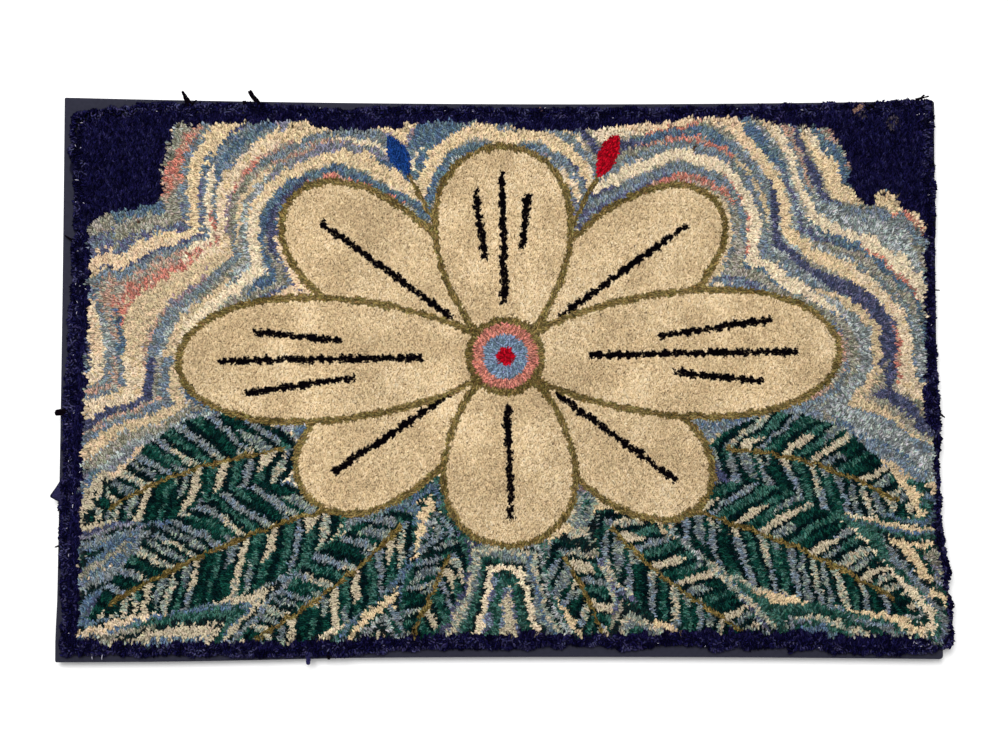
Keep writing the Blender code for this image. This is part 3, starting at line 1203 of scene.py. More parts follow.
LIGHTS = (Yarn.MILK, Yarn.CREAM, Yarn.CREAM, Yarn.OAT, Yarn.PEACH, Yarn.TAN)
COOLS = (
    Yarn.HEATHER, Yarn.HEATHER, Yarn.STEEL, Yarn.PALE_BLUE, Yarn.LAVENDER, Yarn.DEEP_BLUE,
    Yarn.DEEP_BLUE, Yarn.GREY_TEAL, Yarn.SLATE, Yarn.DUSK, Yarn.KHAKI,
)
WARMS = (Yarn.ROSE, Yarn.ROSE, Yarn.TAN, Yarn.MAUVE, Yarn.SALMON, Yarn.STONE)
DUSKS = (Yarn.DUSK, Yarn.SLATE, Yarn.DEEP_BLUE)
MISTS = (Yarn.PALE_BLUE, Yarn.STONE, Yarn.STONE, Yarn.OAT)
DARK_GREENS = (Yarn.SPRUCE, Yarn.SPRUCE, Yarn.SPRUCE, Yarn.BOTTLE, Yarn.BOTTLE, Yarn.EMERALD)
MID_GREENS = (Yarn.TEAL, Yarn.GREY_LAVENDER, Yarn.TEAL, Yarn.EMERALD)
PALE_GREENS = (Yarn.LICHEN, Yarn.BONE, Yarn.LICHEN, Yarn.HEATHER)


@dataclass(frozen=True)
class Pattern:
    """The rug's pattern: a big flower over a bed of leaves, on a ground of scrap-yarn bands, in a border.

    Places are measured from the board's middle.
    """

    board: MountingBoard
    # The border: how wide it is, in millimetres, at shares of the way along each side, left to right or
    # bottom to top
    top: tuple[Pair, ...] = (
        (0.120, 28.6), (0.149, 31.6), (0.195, 27.6), (0.264, 26.1), (0.310, 35.6), (0.380, 34.6),
        (0.400, 27.6), (0.449, 23.6), (0.495, 27.1), (0.541, 34.6), (0.600, 33.6), (0.679, 25.6),
        (0.726, 20.6), (0.795, 21.6), (0.818, 30.6), (0.864, 33.6),
    )
    bottom: tuple[Pair, ...] = (
        (0.000, 28.8), (0.040, 29.8), (0.060, 23.8), (0.220, 22.8), (0.330, 24.3), (0.445, 27.8),
        (0.536, 30.8), (0.580, 26.8), (0.626, 28.8), (0.694, 32.3), (0.852, 33.8), (0.875, 26.8),
        (0.920, 30.8), (0.965, 28.8), (1.000, 18.8),
    )
    left: tuple[Pair, ...] = (
        (0.00, 31.6), (0.10, 28.1), (0.30, 28.6), (0.45, 30.6), (0.62, 33.6), (1.00, 34.6),
    )
    right: tuple[Pair, ...] = (
        (0.000, 6.5), (0.035, 2.5), (0.068, -3.5), (0.090, 0.5), (0.122, 1.0), (0.187, 7.5),
        (0.230, 13.0), (0.273, 13.5), (0.300, 10.0), (0.410, 10.5), (0.424, 19.0), (0.467, 19.5),
        (0.600, 16.0), (0.680, 17.9), (0.747, 15.0), (0.790, 21.5),
    )
    # Its stepped blocks in the top corners: how far from the side and from the top, in millimetres
    left_block: tuple[Pair, ...] = (
        (0, 0), (127, 0), (127, 26), (121, 42), (113, 82), (115, 107), (108, 117), (96, 122),
        (62, 129), (34, 141), (24, 143), (0, 144),
    )
    right_block: tuple[Pair, ...] = (
        (0, 0), (129, 0), (127, 25), (108, 55), (98, 73), (102, 93), (86, 117), (69, 117), (55, 101),
        (41, 123), (17, 130), (0, 131),
    )
    # The flower
    middle: Pair = (0.004, 0.022)
    petals: tuple[Petal, ...] = (
        Petal(36, 0.288, 0.126),
        Petal(144, 0.292, 0.128),
        Petal(-36, 0.268, 0.124),
        Petal(-146, 0.264, 0.126),
        Petal(1, 0.366, 0.136, THREE_VEINS),
        Petal(181, 0.356, 0.132, THREE_VEINS),
        Petal(91, 0.232, 0.146, THREE_VEINS),
        Petal(-88, 0.206, 0.140),
    )
    leaves: tuple[Leaf, ...] = (
        Leaf((0.05, -0.20), (0.110, -0.318), 0.056, 0.006),
        Leaf((-0.05, -0.20), (-0.104, -0.320), 0.058, -0.004),
        Leaf((0.22, -0.10), (0.452, -0.172), 0.100, 0.018),
        Leaf((-0.22, -0.10), (-0.452, -0.178), 0.104, -0.016),
        Leaf((0.17, -0.16), (0.450, -0.282), 0.108, 0.014),
        Leaf((-0.17, -0.16), (-0.452, -0.284), 0.110, -0.012),
        Leaf((0.10, -0.17), (0.300, -0.318), 0.078, -0.014),
        Leaf((-0.10, -0.17), (-0.292, -0.316), 0.080, 0.012),
    )
    buds: tuple[Bud, ...] = (
        Bud(118, 0.15, 0.226, 0.050, 0.022, Yarn.ROYAL),
        Bud(63, 0.15, 0.224, 0.052, 0.022, Yarn.RED),
    )
    flecks: tuple[Fleck, ...] = (
        Fleck(-0.3975, 0.1689, 2.4, Yarn.BROWN, 1.0),
        Fleck(0.2119, 0.2526, 2.2, Yarn.BROWN, 1.0),
        Fleck(0.4350, 0.2825, 9.0, Yarn.TAUPE, 0.45),
        Fleck(0.3990, 0.2912, 5.0, Yarn.TAUPE, 0.35),
        # Painted shade: a hollow in the pile beside the worn spot, painted in black yarn
        Fleck(0.4080, 0.3016, 4.2, Yarn.BLACK, 1.0),
        Fleck(0.4135, 0.3000, 3.6, Yarn.BLACK, 0.8),
        Fleck(0.0445, 0.2964, 3.0, Yarn.BUFF, 0.3),
    )
    outline_width: float = 8.0 * MM
    vein_width: float = 7.8 * MM
    bead_pitch: float = 10.5 * MM
    bead_swell: float = 2.0 * MM
    bead_slip_cell: float = 0.02
    line_fray: float = 1.1 * MM
    line_fray_cell: float = 3.6 * MM
    heart_radius: float = 40 * MM
    # How ragged the edges between yarns are, and how much of that the flower's lines follow
    rag: float = 2.4 * MM
    rag_cell: float = 8.0 * MM
    fray: float = 0.7 * MM
    fray_cell: float = 2.4 * MM
    line_rag: float = 0.5
    # How far the teeth of pale bands and of the field reach into what is beside them
    tooth_reach: float = 4.4 * MM
    tooth_cell: float = 5.5 * MM
    field_tooth: float = 4.4 * MM
    field_tooth_cell: float = 6.5 * MM
    spill_probe: float = 5.0 * MM
    spill_length: float = 3.6 * MM
    spill_cell: float = 5.5 * MM
    # How much each tip's own draw adds to the flop that it shares with its neighbours
    own_flop: float = 0.2
    # How the ground's bands wander, how far across them the motifs' edges are, and how far along them a
    # radian round the flower is
    drift: float = 27 * MM
    drift_cell: float = 0.120
    ripple: float = 6 * MM
    ripple_cell: float = 0.038
    ground_lead: float = 0.06
    ground_turn: float = 0.30
    # Where a scrap shows its companion: the patches' size, each tuft's own speckle, and how far their sum
    # has to rise in a dark and in a pale scrap
    patch_cell: float = 4.6 * MM
    patch_speckle: float = 0.45
    dark_patch: float = 0.15
    pale_patch: float = 0.55
    ground: Stripes = Stripes(
        repeat=(
            Band((Share(LIGHTS, 0.92), Share(COOLS, 0.08)), (5.5, 13), (0.08, 0.22), True),
            Band((Share(COOLS, 0.94), Share(WARMS, 0.06)), (6, 12), (0.07, 0.18)),
            Band(
                (Share(WARMS, 0.40), Share(DUSKS, 0.26), Share(MISTS, 0.24), Share(LIGHTS, 0.10)),
                (3.5, 7),
                (0.03, 0.09),
                True,
            ),
            Band((Share(COOLS, 0.94), Share(WARMS, 0.06)), (6, 12), (0.06, 0.16)),
            Band((Share(MISTS, 0.50), Share(DUSKS, 0.25), Share(WARMS, 0.25)), (3, 6), (0.03, 0.10)),
        ),
        slant=2.4,
        seed=11,
    )
    # Low down, the ground's bands are of darker, greener scraps: how high that reaches, and its wavy edge
    undergrowth_top: float = -0.135
    undergrowth_wave: float = 16 * MM
    undergrowth_cell: float = 0.05
    undergrowth: Stripes = Stripes(
        repeat=(
            Band((Share(DARK_GREENS, 0.85), Share(DUSKS, 0.15)), (5, 8.5), (0.04, 0.11)),
            Band((Share(PALE_GREENS, 0.55), Share(LIGHTS, 0.45)), (3.5, 6), (0.03, 0.08), True),
            Band((Share(DUSKS, 0.45), Share(MID_GREENS, 0.55)), (4.5, 8), (0.04, 0.11)),
            Band((Share(COOLS, 0.7), Share(MID_GREENS, 0.3)), (3.5, 6.5), (0.03, 0.09), True),
        ),
        slant=1.8,
        seed=37,
    )
    foliage: Stripes = Stripes(
        repeat=(
            Band((Share(DARK_GREENS, 1.0),), (6, 10), (0.04, 0.10)),
            Band((Share(PALE_GREENS, 0.85), Share(MID_GREENS, 0.15)), (3.5, 5.5), (0.03, 0.08), True),
            Band((Share(DARK_GREENS, 1.0),), (4.5, 8), (0.04, 0.10)),
            Band((Share(MID_GREENS, 0.80), Share(PALE_GREENS, 0.20)), (4, 8), (0.03, 0.09), True),
        ),
        slant=1.5,
        seed=23,
    )
    # The leaves' rows: the cosine and sine of their slant, its heading, where their bands start, and where
    # their scraps start on either side of the midrib
    row_cosine: float = 0.80
    row_sine: float = 0.60
    row_slant: float = math.radians(37)
    row_lead: float = 0.12
    scraps_left: float = 0.3
    scraps_right: float = 0.8
    leaf_bead: float = 1.7 * MM
    leaf_bead_pitch: float = 6.2 * MM
    leaf_bead_slip: float = 60.0
    leaf_wave: float = 3.5 * MM
    leaf_wave_cell: float = 0.035
    rib_width: float = 4.8 * MM
    rib_start: float = 20 * MM
    rib_share: float = 0.90
    # The heart's inner rings, as shares of its radius, and the buds' stems
    heart_sky: float = 0.62
    heart_red: float = 0.26
    stem_width: float = 5.2 * MM
    # How the petals' yarns mix, and the border's upright grain
    mood_cell: float = 30 * MM
    grain_cell: float = 2.6 * MM
    grain_stretch: float = 0.4
    # The outer zone of the border, where its wool stands in coarse clumps
    rim_zone: float = 15 * MM

    def border(self, x: Array, y: Array) -> Mask:
        """Whether points, measured from the board's middle, lie in the border or in its corner blocks."""
        board = self.board
        inset = board.outline.insets(x + board.middle[0], y + board.middle[1])
        share = (x / board.length + 0.5, y / board.width + 0.5)
        found = np.zeros(np.shape(x), bool)
        sides = (Side.TOP, Side.BOTTOM, Side.LEFT, Side.RIGHT)
        for side, widths in zip(sides, (self.top, self.bottom, self.left, self.right)):
            found |= inset[side] < np.interp(share[side.run], *zip(*widths)) * MM
        for side, block in ((Side.LEFT, self.left_block), (Side.RIGHT, self.right_block)):
            found |= within(inset[side] / MM, inset[Side.TOP] / MM, block)
        return found

    def across_ground(self, x: Array, y: Array) -> Array:
        """How far points lie across the ground's bands, which echo the motifs and wander off them."""
        shapes = (*self.petals, *self.leaves)
        nearest = np.minimum.reduce([shape.distance(x, y) for shape in shapes])
        drift = self.drift * patchy(x, y, self.drift_cell, Noise.DRIFT)
        ripple = self.ripple * patchy(x, y, self.ripple_cell, Noise.RIPPLE)
        return nearest + (drift + ripple)

    def ragged(self, x: Array, y: Array) -> tuple[Array, Array]:
        """Shifts by noise at two sizes, which fray every edge between yarns."""
        return tuple(
            self.rag * patchy(x, y, self.rag_cell, rag) + self.fray * patchy(x, y, self.fray_cell, fray)
            for rag, fray in ((Noise.RAG_X, Noise.FRAY_X), (Noise.RAG_Y, Noise.FRAY_Y))
        )

    def towards_border(self, x: Array, y: Array) -> Array:
        """The direction out of the field near its edge, and 0 elsewhere, a row of x and y each.

        Formula: of eight probes round a point, the directions of those that meet the border are added up,
        and the sum is made one long. Where all or none meet it, it is 0.

        Args:
            x, y: places along X and Y.

        Returns:
            The directions.
        """
        lean = np.zeros((len(x), 2))
        for turn in np.arange(8) * math.tau / 8:
            out = np.array([math.cos(turn), math.sin(turn)])
            meets = self.border(x + out[0] * self.spill_probe, y + out[1] * self.spill_probe)
            lean += meets[:, None] * out
        length = np.linalg.norm(lean, axis=1)[:, None]
        return np.where(length > 0.5, lean / np.maximum(length, 0.5), 0)

    def hook(self, x: Array, y: Array, draw: Random) -> Hooking:
        """What is hooked at each place.

        Args:
            x, y: places along X and Y, from the board's middle.
            draw: the random source for mixed strands.

        Returns:
            The hooking.
        """
        count = len(x)
        hooking = Hooking.plain(count)
        dx, dy = self.ragged(x, y)
        u, v = x + dx, y + dy
        fx, fy = u - self.middle[0], v - self.middle[1]
        lx, ly = x + self.line_rag * dx - self.middle[0], y + self.line_rag * dy - self.middle[1]
        self._hook_ground(fx, fy, hooking)
        for leaf in self.leaves:
            self._hook_leaf(leaf, fx, fy, hooking)
        patch = patchy(x, y, self.patch_cell, Noise.PLY) + self.patch_speckle * draw.normal(size=count)
        plied = patch > np.where(IS_PALE[hooking.yarn], self.pale_patch, self.dark_patch)
        hooking.yarn = np.where(plied, COMPANION_NUMBERS[hooking.yarn], hooking.yarn)
        for bud in self.buds:
            self._hook_bud(bud, lx, ly, hooking)
        for petal in self.petals:
            self._hook_petal(petal, lx, ly, hooking)
        self._hook_heart(lx, ly, hooking)
        self._mix_cream(x, y, hooking, draw)
        out = self.towards_border(u, v)
        tooth = (self.field_tooth * toothed(x, y, self.field_tooth_cell, Noise.FIELD_TEETH))[:, None] * out
        edge = self.border(u - tooth[:, 0], v - tooth[:, 1])
        self._hook_border(x, y, edge, hooking, draw)
        for fleck in self.flecks:
            near = np.hypot(x - fleck.x, y - fleck.y) < fleck.radius * MM
            hooking.yarn[near & (draw.random(count) < fleck.share)] = number(fleck.yarn)
        flop = 0.5 + patchy(x, y, self.spill_cell, Noise.FLOP) + self.own_flop * draw.normal(size=count)
        hooking.spill = self.spill_length * out * np.where(edge, 0, np.clip(flop, 0, 1))[:, None]
        return hooking

    def _hook_ground(self, x: Array, y: Array, hooking: Hooking) -> None:
        """Hooks the ground all over: bands along the lines where the distance across them is even.

        Args:
            x, y: places along X and Y, from the flower's middle.
            hooking: what is hooked there, which this changes.
        """
        across = self.across_ground(x, y)
        slope_x = self.across_ground(x + PROBE, y) - across
        slope_y = self.across_ground(x, y + PROBE) - across
        along = np.arctan2(y, x) * self.ground_turn
        teeth = self.tooth_reach * toothed(x, y, self.tooth_cell, Noise.TEETH)
        everywhere = np.ones(len(x), bool)
        wave = self.undergrowth_wave * patchy(x, y, self.undergrowth_cell, Noise.UNDERGROWTH)
        kinds = (self.undergrowth, self.ground)
        lower, upper = (kind.pick(across + self.ground_lead, along, teeth) for kind in kinds)
        yarn = np.where(y < self.undergrowth_top + wave, lower, upper)
        hooking.lay(everywhere, Region.GROUND, yarn, np.arctan2(slope_y, slope_x))

    def _hook_leaf(self, leaf: Leaf, x: Array, y: Array, hooking: Hooking) -> None:
        """Hooks one leaf: beaded green rows that slant from its olive midrib.

        Args:
            leaf: the leaf.
            x, y, hooking: as for the ground.
        """
        along, across = leaf.local(x, y)
        off = np.abs(across)
        wave = self.leaf_wave * patchy(x, y, self.leaf_wave_cell, Noise.LEAF_WAVE)
        row = along * self.row_cosine - off * self.row_sine + wave
        down = along * self.row_sine + off * self.row_cosine
        phase = math.pi * down / self.leaf_bead_pitch + self.leaf_bead_slip * row
        bead = self.leaf_bead * np.abs(np.sin(phase))
        scraps = down + np.where(across > 0, self.scraps_left, self.scraps_right)
        green = self.foliage.pick(row + self.row_lead, scraps, bead)
        rib = (off < self.rib_width / 2) & (along > self.rib_start) & (along < self.rib_share * leaf.length)
        green = np.where(rib, number(Yarn.OLIVE), green)
        slant = leaf.heading - np.sign(across) * self.row_slant
        hooking.lay(leaf.distance(x, y) < 0, Region.LEAF, green, slant)

    def _hook_petal(self, petal: Petal, x: Array, y: Array, hooking: Hooking) -> None:
        """Hooks one petal over what is there: cream, an olive outline and beaded black veins.

        Args:
            petal: the petal.
            x, y, hooking: as for the ground.
        """
        gap = petal.distance(x, y)
        along, across = petal.local(x, y)
        heading = math.radians(petal.angle)
        fray = self.line_fray * patchy(x, y, self.line_fray_cell, Noise.LINE_FRAY)
        cream = gap < 0
        line = np.abs(gap) < self.outline_width / 2 + fray
        hooking.lay(cream, Region.PETAL, Yarn.CREAM, math.pi / 2)
        hooking.lay(line, Region.OUTLINE, Yarn.OLIVE, heading)
        slip = 2 * patchy(x, y, self.bead_slip_cell, Noise.BEADS)
        bead = np.sin(math.pi * along / self.bead_pitch + slip) ** 2
        half = (self.vein_width - self.bead_swell) / 2 + self.bead_swell * bead + fray
        for vein in petal.veins:
            start, end = vein.start * petal.reach, vein.end * petal.reach
            off = across - vein.offset - vein.slope * (along - start)
            dark = cream & (np.abs(off) < half) & (along > start) & (along < end)
            hooking.lay(dark, Region.VEIN, Yarn.BLACK, heading)

    def _hook_heart(self, x: Array, y: Array, hooking: Hooking) -> None:
        """Hooks the flower's heart: rings of salmon, steel blue and red, outlined in olive.

        Args:
            x, y, hooking: as for the ground.
        """
        out = np.hypot(x, y)
        turn = np.arctan2(y, x)
        rings = (
            (self.heart_radius + self.outline_width / 2, Region.OUTLINE, Yarn.OLIVE),
            (self.heart_radius - self.outline_width / 2, Region.HEART, Yarn.SALMON),
            (self.heart_sky * self.heart_radius, Region.HEART, Yarn.SKY),
            (self.heart_red * self.heart_radius, Region.HEART, Yarn.RED),
        )
        for radius, region, yarn in rings:
            hooking.lay(out < radius, region, yarn, turn)

    def _hook_bud(self, bud: Bud, x: Array, y: Array, hooking: Hooking) -> None:
        """Hooks one bud, a pointed oval, and its stem.

        Args:
            bud: the bud.
            x, y, hooking: as for the ground.
        """
        turn = math.radians(bud.angle)
        u, v = turned(x, y, turn)
        stem = (np.abs(v) < self.stem_width / 2) & (u > bud.stem_start) & (u < bud.stem_end)
        part = np.clip((u - bud.stem_end) / bud.length, 0, 1)
        oval = np.abs(v) < bud.width / 2 * np.sin(math.pi * part) ** 0.7
        hooking.lay(stem, Region.OUTLINE, Yarn.OLIVE, turn)
        hooking.lay(oval & (part > 0) & (part < 1), Region.BUD, bud.yarn, turn)

    def _mix_cream(self, x: Array, y: Array, hooking: Hooking, draw: Random) -> None:
        """Mixes linen, drab and a little ivory into the cream petals, and dark olive into the lines.

        Formula: smooth noise and each tuft's own draw are added up, and every yarn has a range of the sum.

        Args:
            x, y: places along X and Y, from the board's middle.
            hooking: what is hooked there, which this changes.
            draw: the random source.
        """
        mood = 0.8 * patchy(x, y, self.mood_cell, Noise.MOOD) + 0.5 * draw.normal(size=len(x))
        cream = hooking.region == Region.PETAL
        mixed = ((mood > 1.2, Yarn.IVORY), (mood < 0.4, Yarn.LINEN), (mood < -0.45, Yarn.DRAB))
        for chosen, yarn in mixed:
            hooking.yarn[cream & chosen] = number(yarn)
        hooking.yarn[(hooking.yarn == number(Yarn.OLIVE)) & (mood < -0.2)] = number(Yarn.DARK_OLIVE)

    def _hook_border(self, x: Array, y: Array, edge: Mask, hooking: Hooking, draw: Random) -> None:
        """Hooks the border: navy with a fine upright grain, by a sum as for the cream.

        Args:
            x, y, hooking, draw: as for the cream.
            edge: whether the border is there.
        """
        streak = patchy(x, self.grain_stretch * y, self.grain_cell, Noise.GRAIN)
        grain = 0.5 * streak + 0.4 * draw.normal(size=len(x))
        others = [number(Yarn.SOFT_NAVY), number(Yarn.INK)]
        navy = np.select([grain > 0.5, grain < -0.35], others, number(Yarn.NAVY))
        hooking.lay(edge, Region.BORDER, navy, math.pi / 2)


# ---- Tufts ----


def dyed(yarn: Numbers, draw: Random, uneven: Array | float) -> Array:
    """A colour for each tuft: its yarn's, lighter or darker from tuft to tuft, and a little off its hue.

    Args:
        yarn: the tufts' yarns, by number.
        draw: the random source.
        uneven: how much their lightness differs.

    Returns:
        The linear colours.
    """
    colour = YARN_COLOURS[yarn]
    light = 1 + uneven * draw.normal(size=(len(yarn), 1))
    hue = 1 + 0.15 * uneven * draw.normal(size=(len(yarn), 3))
    return np.clip(colour * np.clip(light, 0.55, 1.45) * hue, 0, 1)


def shaded(colour: Array, share: Array | float) -> Array:
    """A colour deep in the pile: light that has gone from strand to strand is dimmer and richer."""
    return share * colour**1.08


@dataclass(frozen=True)
class CutTuft:
    """A cut tuft: a small wedge whose ridge is the tips of its strands."""

    pitch: float = 2.45 * MM
    # The petals' tufts are soft and low, a dark yarn's are long strokes whose roots are painted much
    # darker as painted shade deep in the pile, and other pale ones are between them
    pale_softness: float = 0.60
    soft_ridge: float = 3.5 * MM
    hard_ridge: float = 3.7 * MM
    soft_base: float = 2.8 * MM
    hard_base: float = 2.7 * MM
    soft_height: float = 1.7 * MM
    hard_height: float = 2.5 * MM
    soft_turn: float = math.radians(42)
    hard_turn: float = math.radians(24)
    soft_uneven: float = 0.06
    hard_uneven: float = 0.36
    # How much of the tip's colour a tuft's base keeps under its painted shade
    soft_root_shade: float = 0.76
    hard_root_shade: float = 0.28
    rough: float = 0.26 * MM
    clump: float = 0.35 * MM
    clump_cell: float = 6.5 * MM
    lean: float = 0.5 * MM
    tilt: float = 0.22 * MM
    cloud: float = 0.07
    cloud_cell: float = 70 * MM
    sizes: Pair = (0.88, 1.16)
    # A spilled tuft's ridge narrows to this share of its length, over this much spill
    tooth: float = 0.4
    tooth_spill: float = 4 * MM

    def form(self, x: Array, y: Array, tip: Array, hooking: Hooking, draw: Random) -> Form:
        """Many tufts as one mesh.

        Formula: the base is a triangle about the tuft's foot, with one corner back along the hooking's
        heading, turned by a random angle. The ridge is a shorter line over it, at the tip's height, shifted
        by the tuft's lean and spill, and a spilled ridge narrows to a tooth.

        Args:
            x: the tufts' middles along X.
            y: the tufts' middles along Y.
            tip: the heights of their tips.
            hooking: what is hooked there.
            draw: the random source.

        Returns:
            The tufts' arrays.
        """
        count = len(x)
        soft = np.where(hooking.region == Region.PETAL, 1.0, self.pale_softness) * IS_PALE[hooking.yarn]

        def between(hard: float, gentle: float) -> Array:
            """A number for each tuft, by how soft it is."""
            return hard + (gentle - hard) * soft

        spread = between(self.hard_turn, self.soft_turn)
        turn = hooking.heading + draw.normal(size=count) * spread + math.pi * draw.integers(0, 2, count)
        size = draw.uniform(*self.sizes, count)
        foot = np.stack([x, y, tip - between(self.hard_height, self.soft_height)], axis=1)

        def arm(angle: Array, length: Array) -> Array:
            """A level step from the foot."""
            return np.stack([np.cos(angle), np.sin(angle), np.zeros(count)], axis=1) * length[:, None]

        base = between(self.hard_base, self.soft_base) * size
        corners = [foot + arm(turn + math.radians(way), base) for way in (180, -60, 60)]
        clump = self.clump * patchy(x, y, self.clump_cell, Noise.TUFT_CLUMPS)
        top = tip + self.rough * draw.normal(size=count) + clump
        shift = self.lean * draw.normal(size=(count, 2)) + hooking.spill
        peak = np.stack([x + shift[:, 0], y + shift[:, 1], top], axis=1)
        spilled = np.linalg.norm(hooking.spill, axis=1)
        ridge = between(self.hard_ridge, self.soft_ridge) * size
        half_ridge = ridge / 2 * np.clip(1.2 - spilled / self.tooth_spill, self.tooth, 1)
        half = arm(turn, half_ridge)
        half[:, 2] = self.tilt * draw.normal(size=count)
        points = np.stack([*corners, peak + half, peak - half], axis=1)
        uneven = between(self.hard_uneven, self.soft_uneven)[:, None]
        cloud = 1 + self.cloud * patchy(x, y, self.cloud_cell, Noise.TUFT_CLOUDS)[:, None]
        colour = np.clip(dyed(hooking.yarn, draw, uneven) * cloud, 0, 1)
        # Painted shade: the base corners are painted darker than the ridge, for the shade deep between the
        # tufts
        low = shaded(colour, between(self.hard_root_shade, self.soft_root_shade)[:, None])
        colours = np.stack([low, low, low, colour * 1.02, colour * 0.96], axis=1)
        faces = (
            repeated([[0, 2, 1], [1, 2, 3]], count, 5),
            repeated([[0, 1, 3, 4], [2, 0, 4, 3]], count, 5),
        )
        return Form(points.reshape(-1, 3), faces, colours.reshape(-1, 3))


@dataclass(frozen=True)
class ShaggyTuft:
    """A coarse tuft of the border's outer zone: a bent strand that lies over the pile."""

    pitch: float = 3.2 * MM
    length: float = 5.4 * MM
    radius: float = 1.55 * MM
    arch: float = 1.0 * MM
    curl: float = 1.1 * MM
    sink: float = 1.4 * MM
    rough: float = 0.5 * MM
    climb: float = 0.14
    uneven: float = 0.28

    def form(self, x: Array, y: Array, tip: Array, hooking: Hooking, draw: Random) -> Form:
        """Many tufts as one mesh, with the arguments and result of CutTuft.form."""
        count = len(x)
        turn = draw.uniform(0, math.tau, count)
        climb = draw.normal(size=count) * self.climb
        way = np.stack([np.cos(turn) * np.cos(climb), np.sin(turn) * np.cos(climb), np.sin(climb)], axis=1)
        length = self.length * draw.uniform(0.7, 1.2, count)
        middle = np.stack([x, y, tip - self.sink + self.rough * draw.normal(size=count)], axis=1)
        root = middle - way * length[:, None] / 2
        radius = self.radius * draw.uniform(0.75, 1.15, count)
        arch = self.arch * draw.uniform(0.4, 1.2, count)
        curl = self.curl * draw.normal(size=count)
        return strands(root, way, length, radius, arch, curl, dyed(hooking.yarn, draw, self.uneven))


def faded_navy(x: Array, y: Array, draw: Random) -> Numbers:
    """Navy yarns for the coarse wool of the rim, faded in clumps."""
    clump = patchy(x, y, 6.5 * MM, Noise.RIM_FADE) + 0.3 * draw.normal(size=len(x))
    yarns = [number(Yarn.WORN_NAVY), number(Yarn.FADED_NAVY), number(Yarn.INK)]
    return np.select([clump > 0.8, clump > 0.2, clump < -0.35], yarns, number(Yarn.NAVY))


# ---- Small things on the rug ----


@dataclass(frozen=True)
class WornSpot:
    """A bald spot at the rug's top edge, where the burlap shows."""

    middle: Pair = (0.3956, 0.2984)
    turn: float = math.radians(36)
    length: float = 15 * MM
    width: float = 5.6 * MM
    raggedness: float = 0.22
    thread_pitch: float = 1.5 * MM
    thread_radius: float = 0.6 * MM
    thread_wave: float = 0.35 * MM
    thread_drift: float = 0.3 * MM
    thread_sides: int = 5
    height: float = 6.6 * MM

    def holds(self, x: Array, y: Array) -> Mask:
        """Whether points, from the board's middle, lie in the spot: a wavy-edged oval."""
        u, v = turned(x - self.middle[0], y - self.middle[1], self.turn)
        edge = 1 + self.raggedness * patchy(x, y, 3 * MM, Noise.SPOT_EDGE)
        return np.hypot(2 * u / self.length, 2 * v / self.width) < edge

    def form(self, origin: Pair, back: float) -> Form:
        """The spot's burlap: warp and weft threads as tubes.

        Formula: each thread is a line whose height is a cosine of the way along it, half a turn for each
        thread it crosses, and neighbouring threads are half a turn apart.

        Args:
            origin: the board's middle.
            back: the height of the rug's back.

        Returns:
            The threads' arrays.
        """
        parts = []
        steps = 25
        for lengthwise in (True, False):
            run, wide = (self.length, self.width) if lengthwise else (self.width, self.length)
            t = np.linspace(-run / 2, run / 2, steps)
            rows = int(wide / self.thread_pitch) + 1
            for row in range(rows):
                offset = np.full(steps, (row - (rows - 1) / 2) * self.thread_pitch)
                phase = math.pi * (t / self.thread_pitch + row + (0.5 if lengthwise else 0.0))
                wave = self.thread_wave * np.cos(phase) * (1 if lengthwise else -1)
                offset += self.thread_drift * patchy(t, offset, 4 * MM, Noise.SPOT_THREADS)
                u, v = (t, offset) if lengthwise else (offset, t)
                x, y = turned(u, v, -self.turn)
                middle = (origin[0] + self.middle[0], origin[1] + self.middle[1])
                line = np.stack([middle[0] + x, middle[1] + y, back + self.height + wave], axis=1)
                radius = np.full(steps, self.thread_radius)
                parts.append(tube(line, radius, self.thread_sides, reflectance(BURLAP.thread)))
        return all_joined(parts)


@dataclass(frozen=True)
class FringeRow:
    """A row of strands round the rim, in millimetres: how far inside it their roots are and how high over
    the rug's back, and how far past it their tips are and how high."""

    root_inset: float
    root_height: float
    tip_reach: float
    tip_height: float


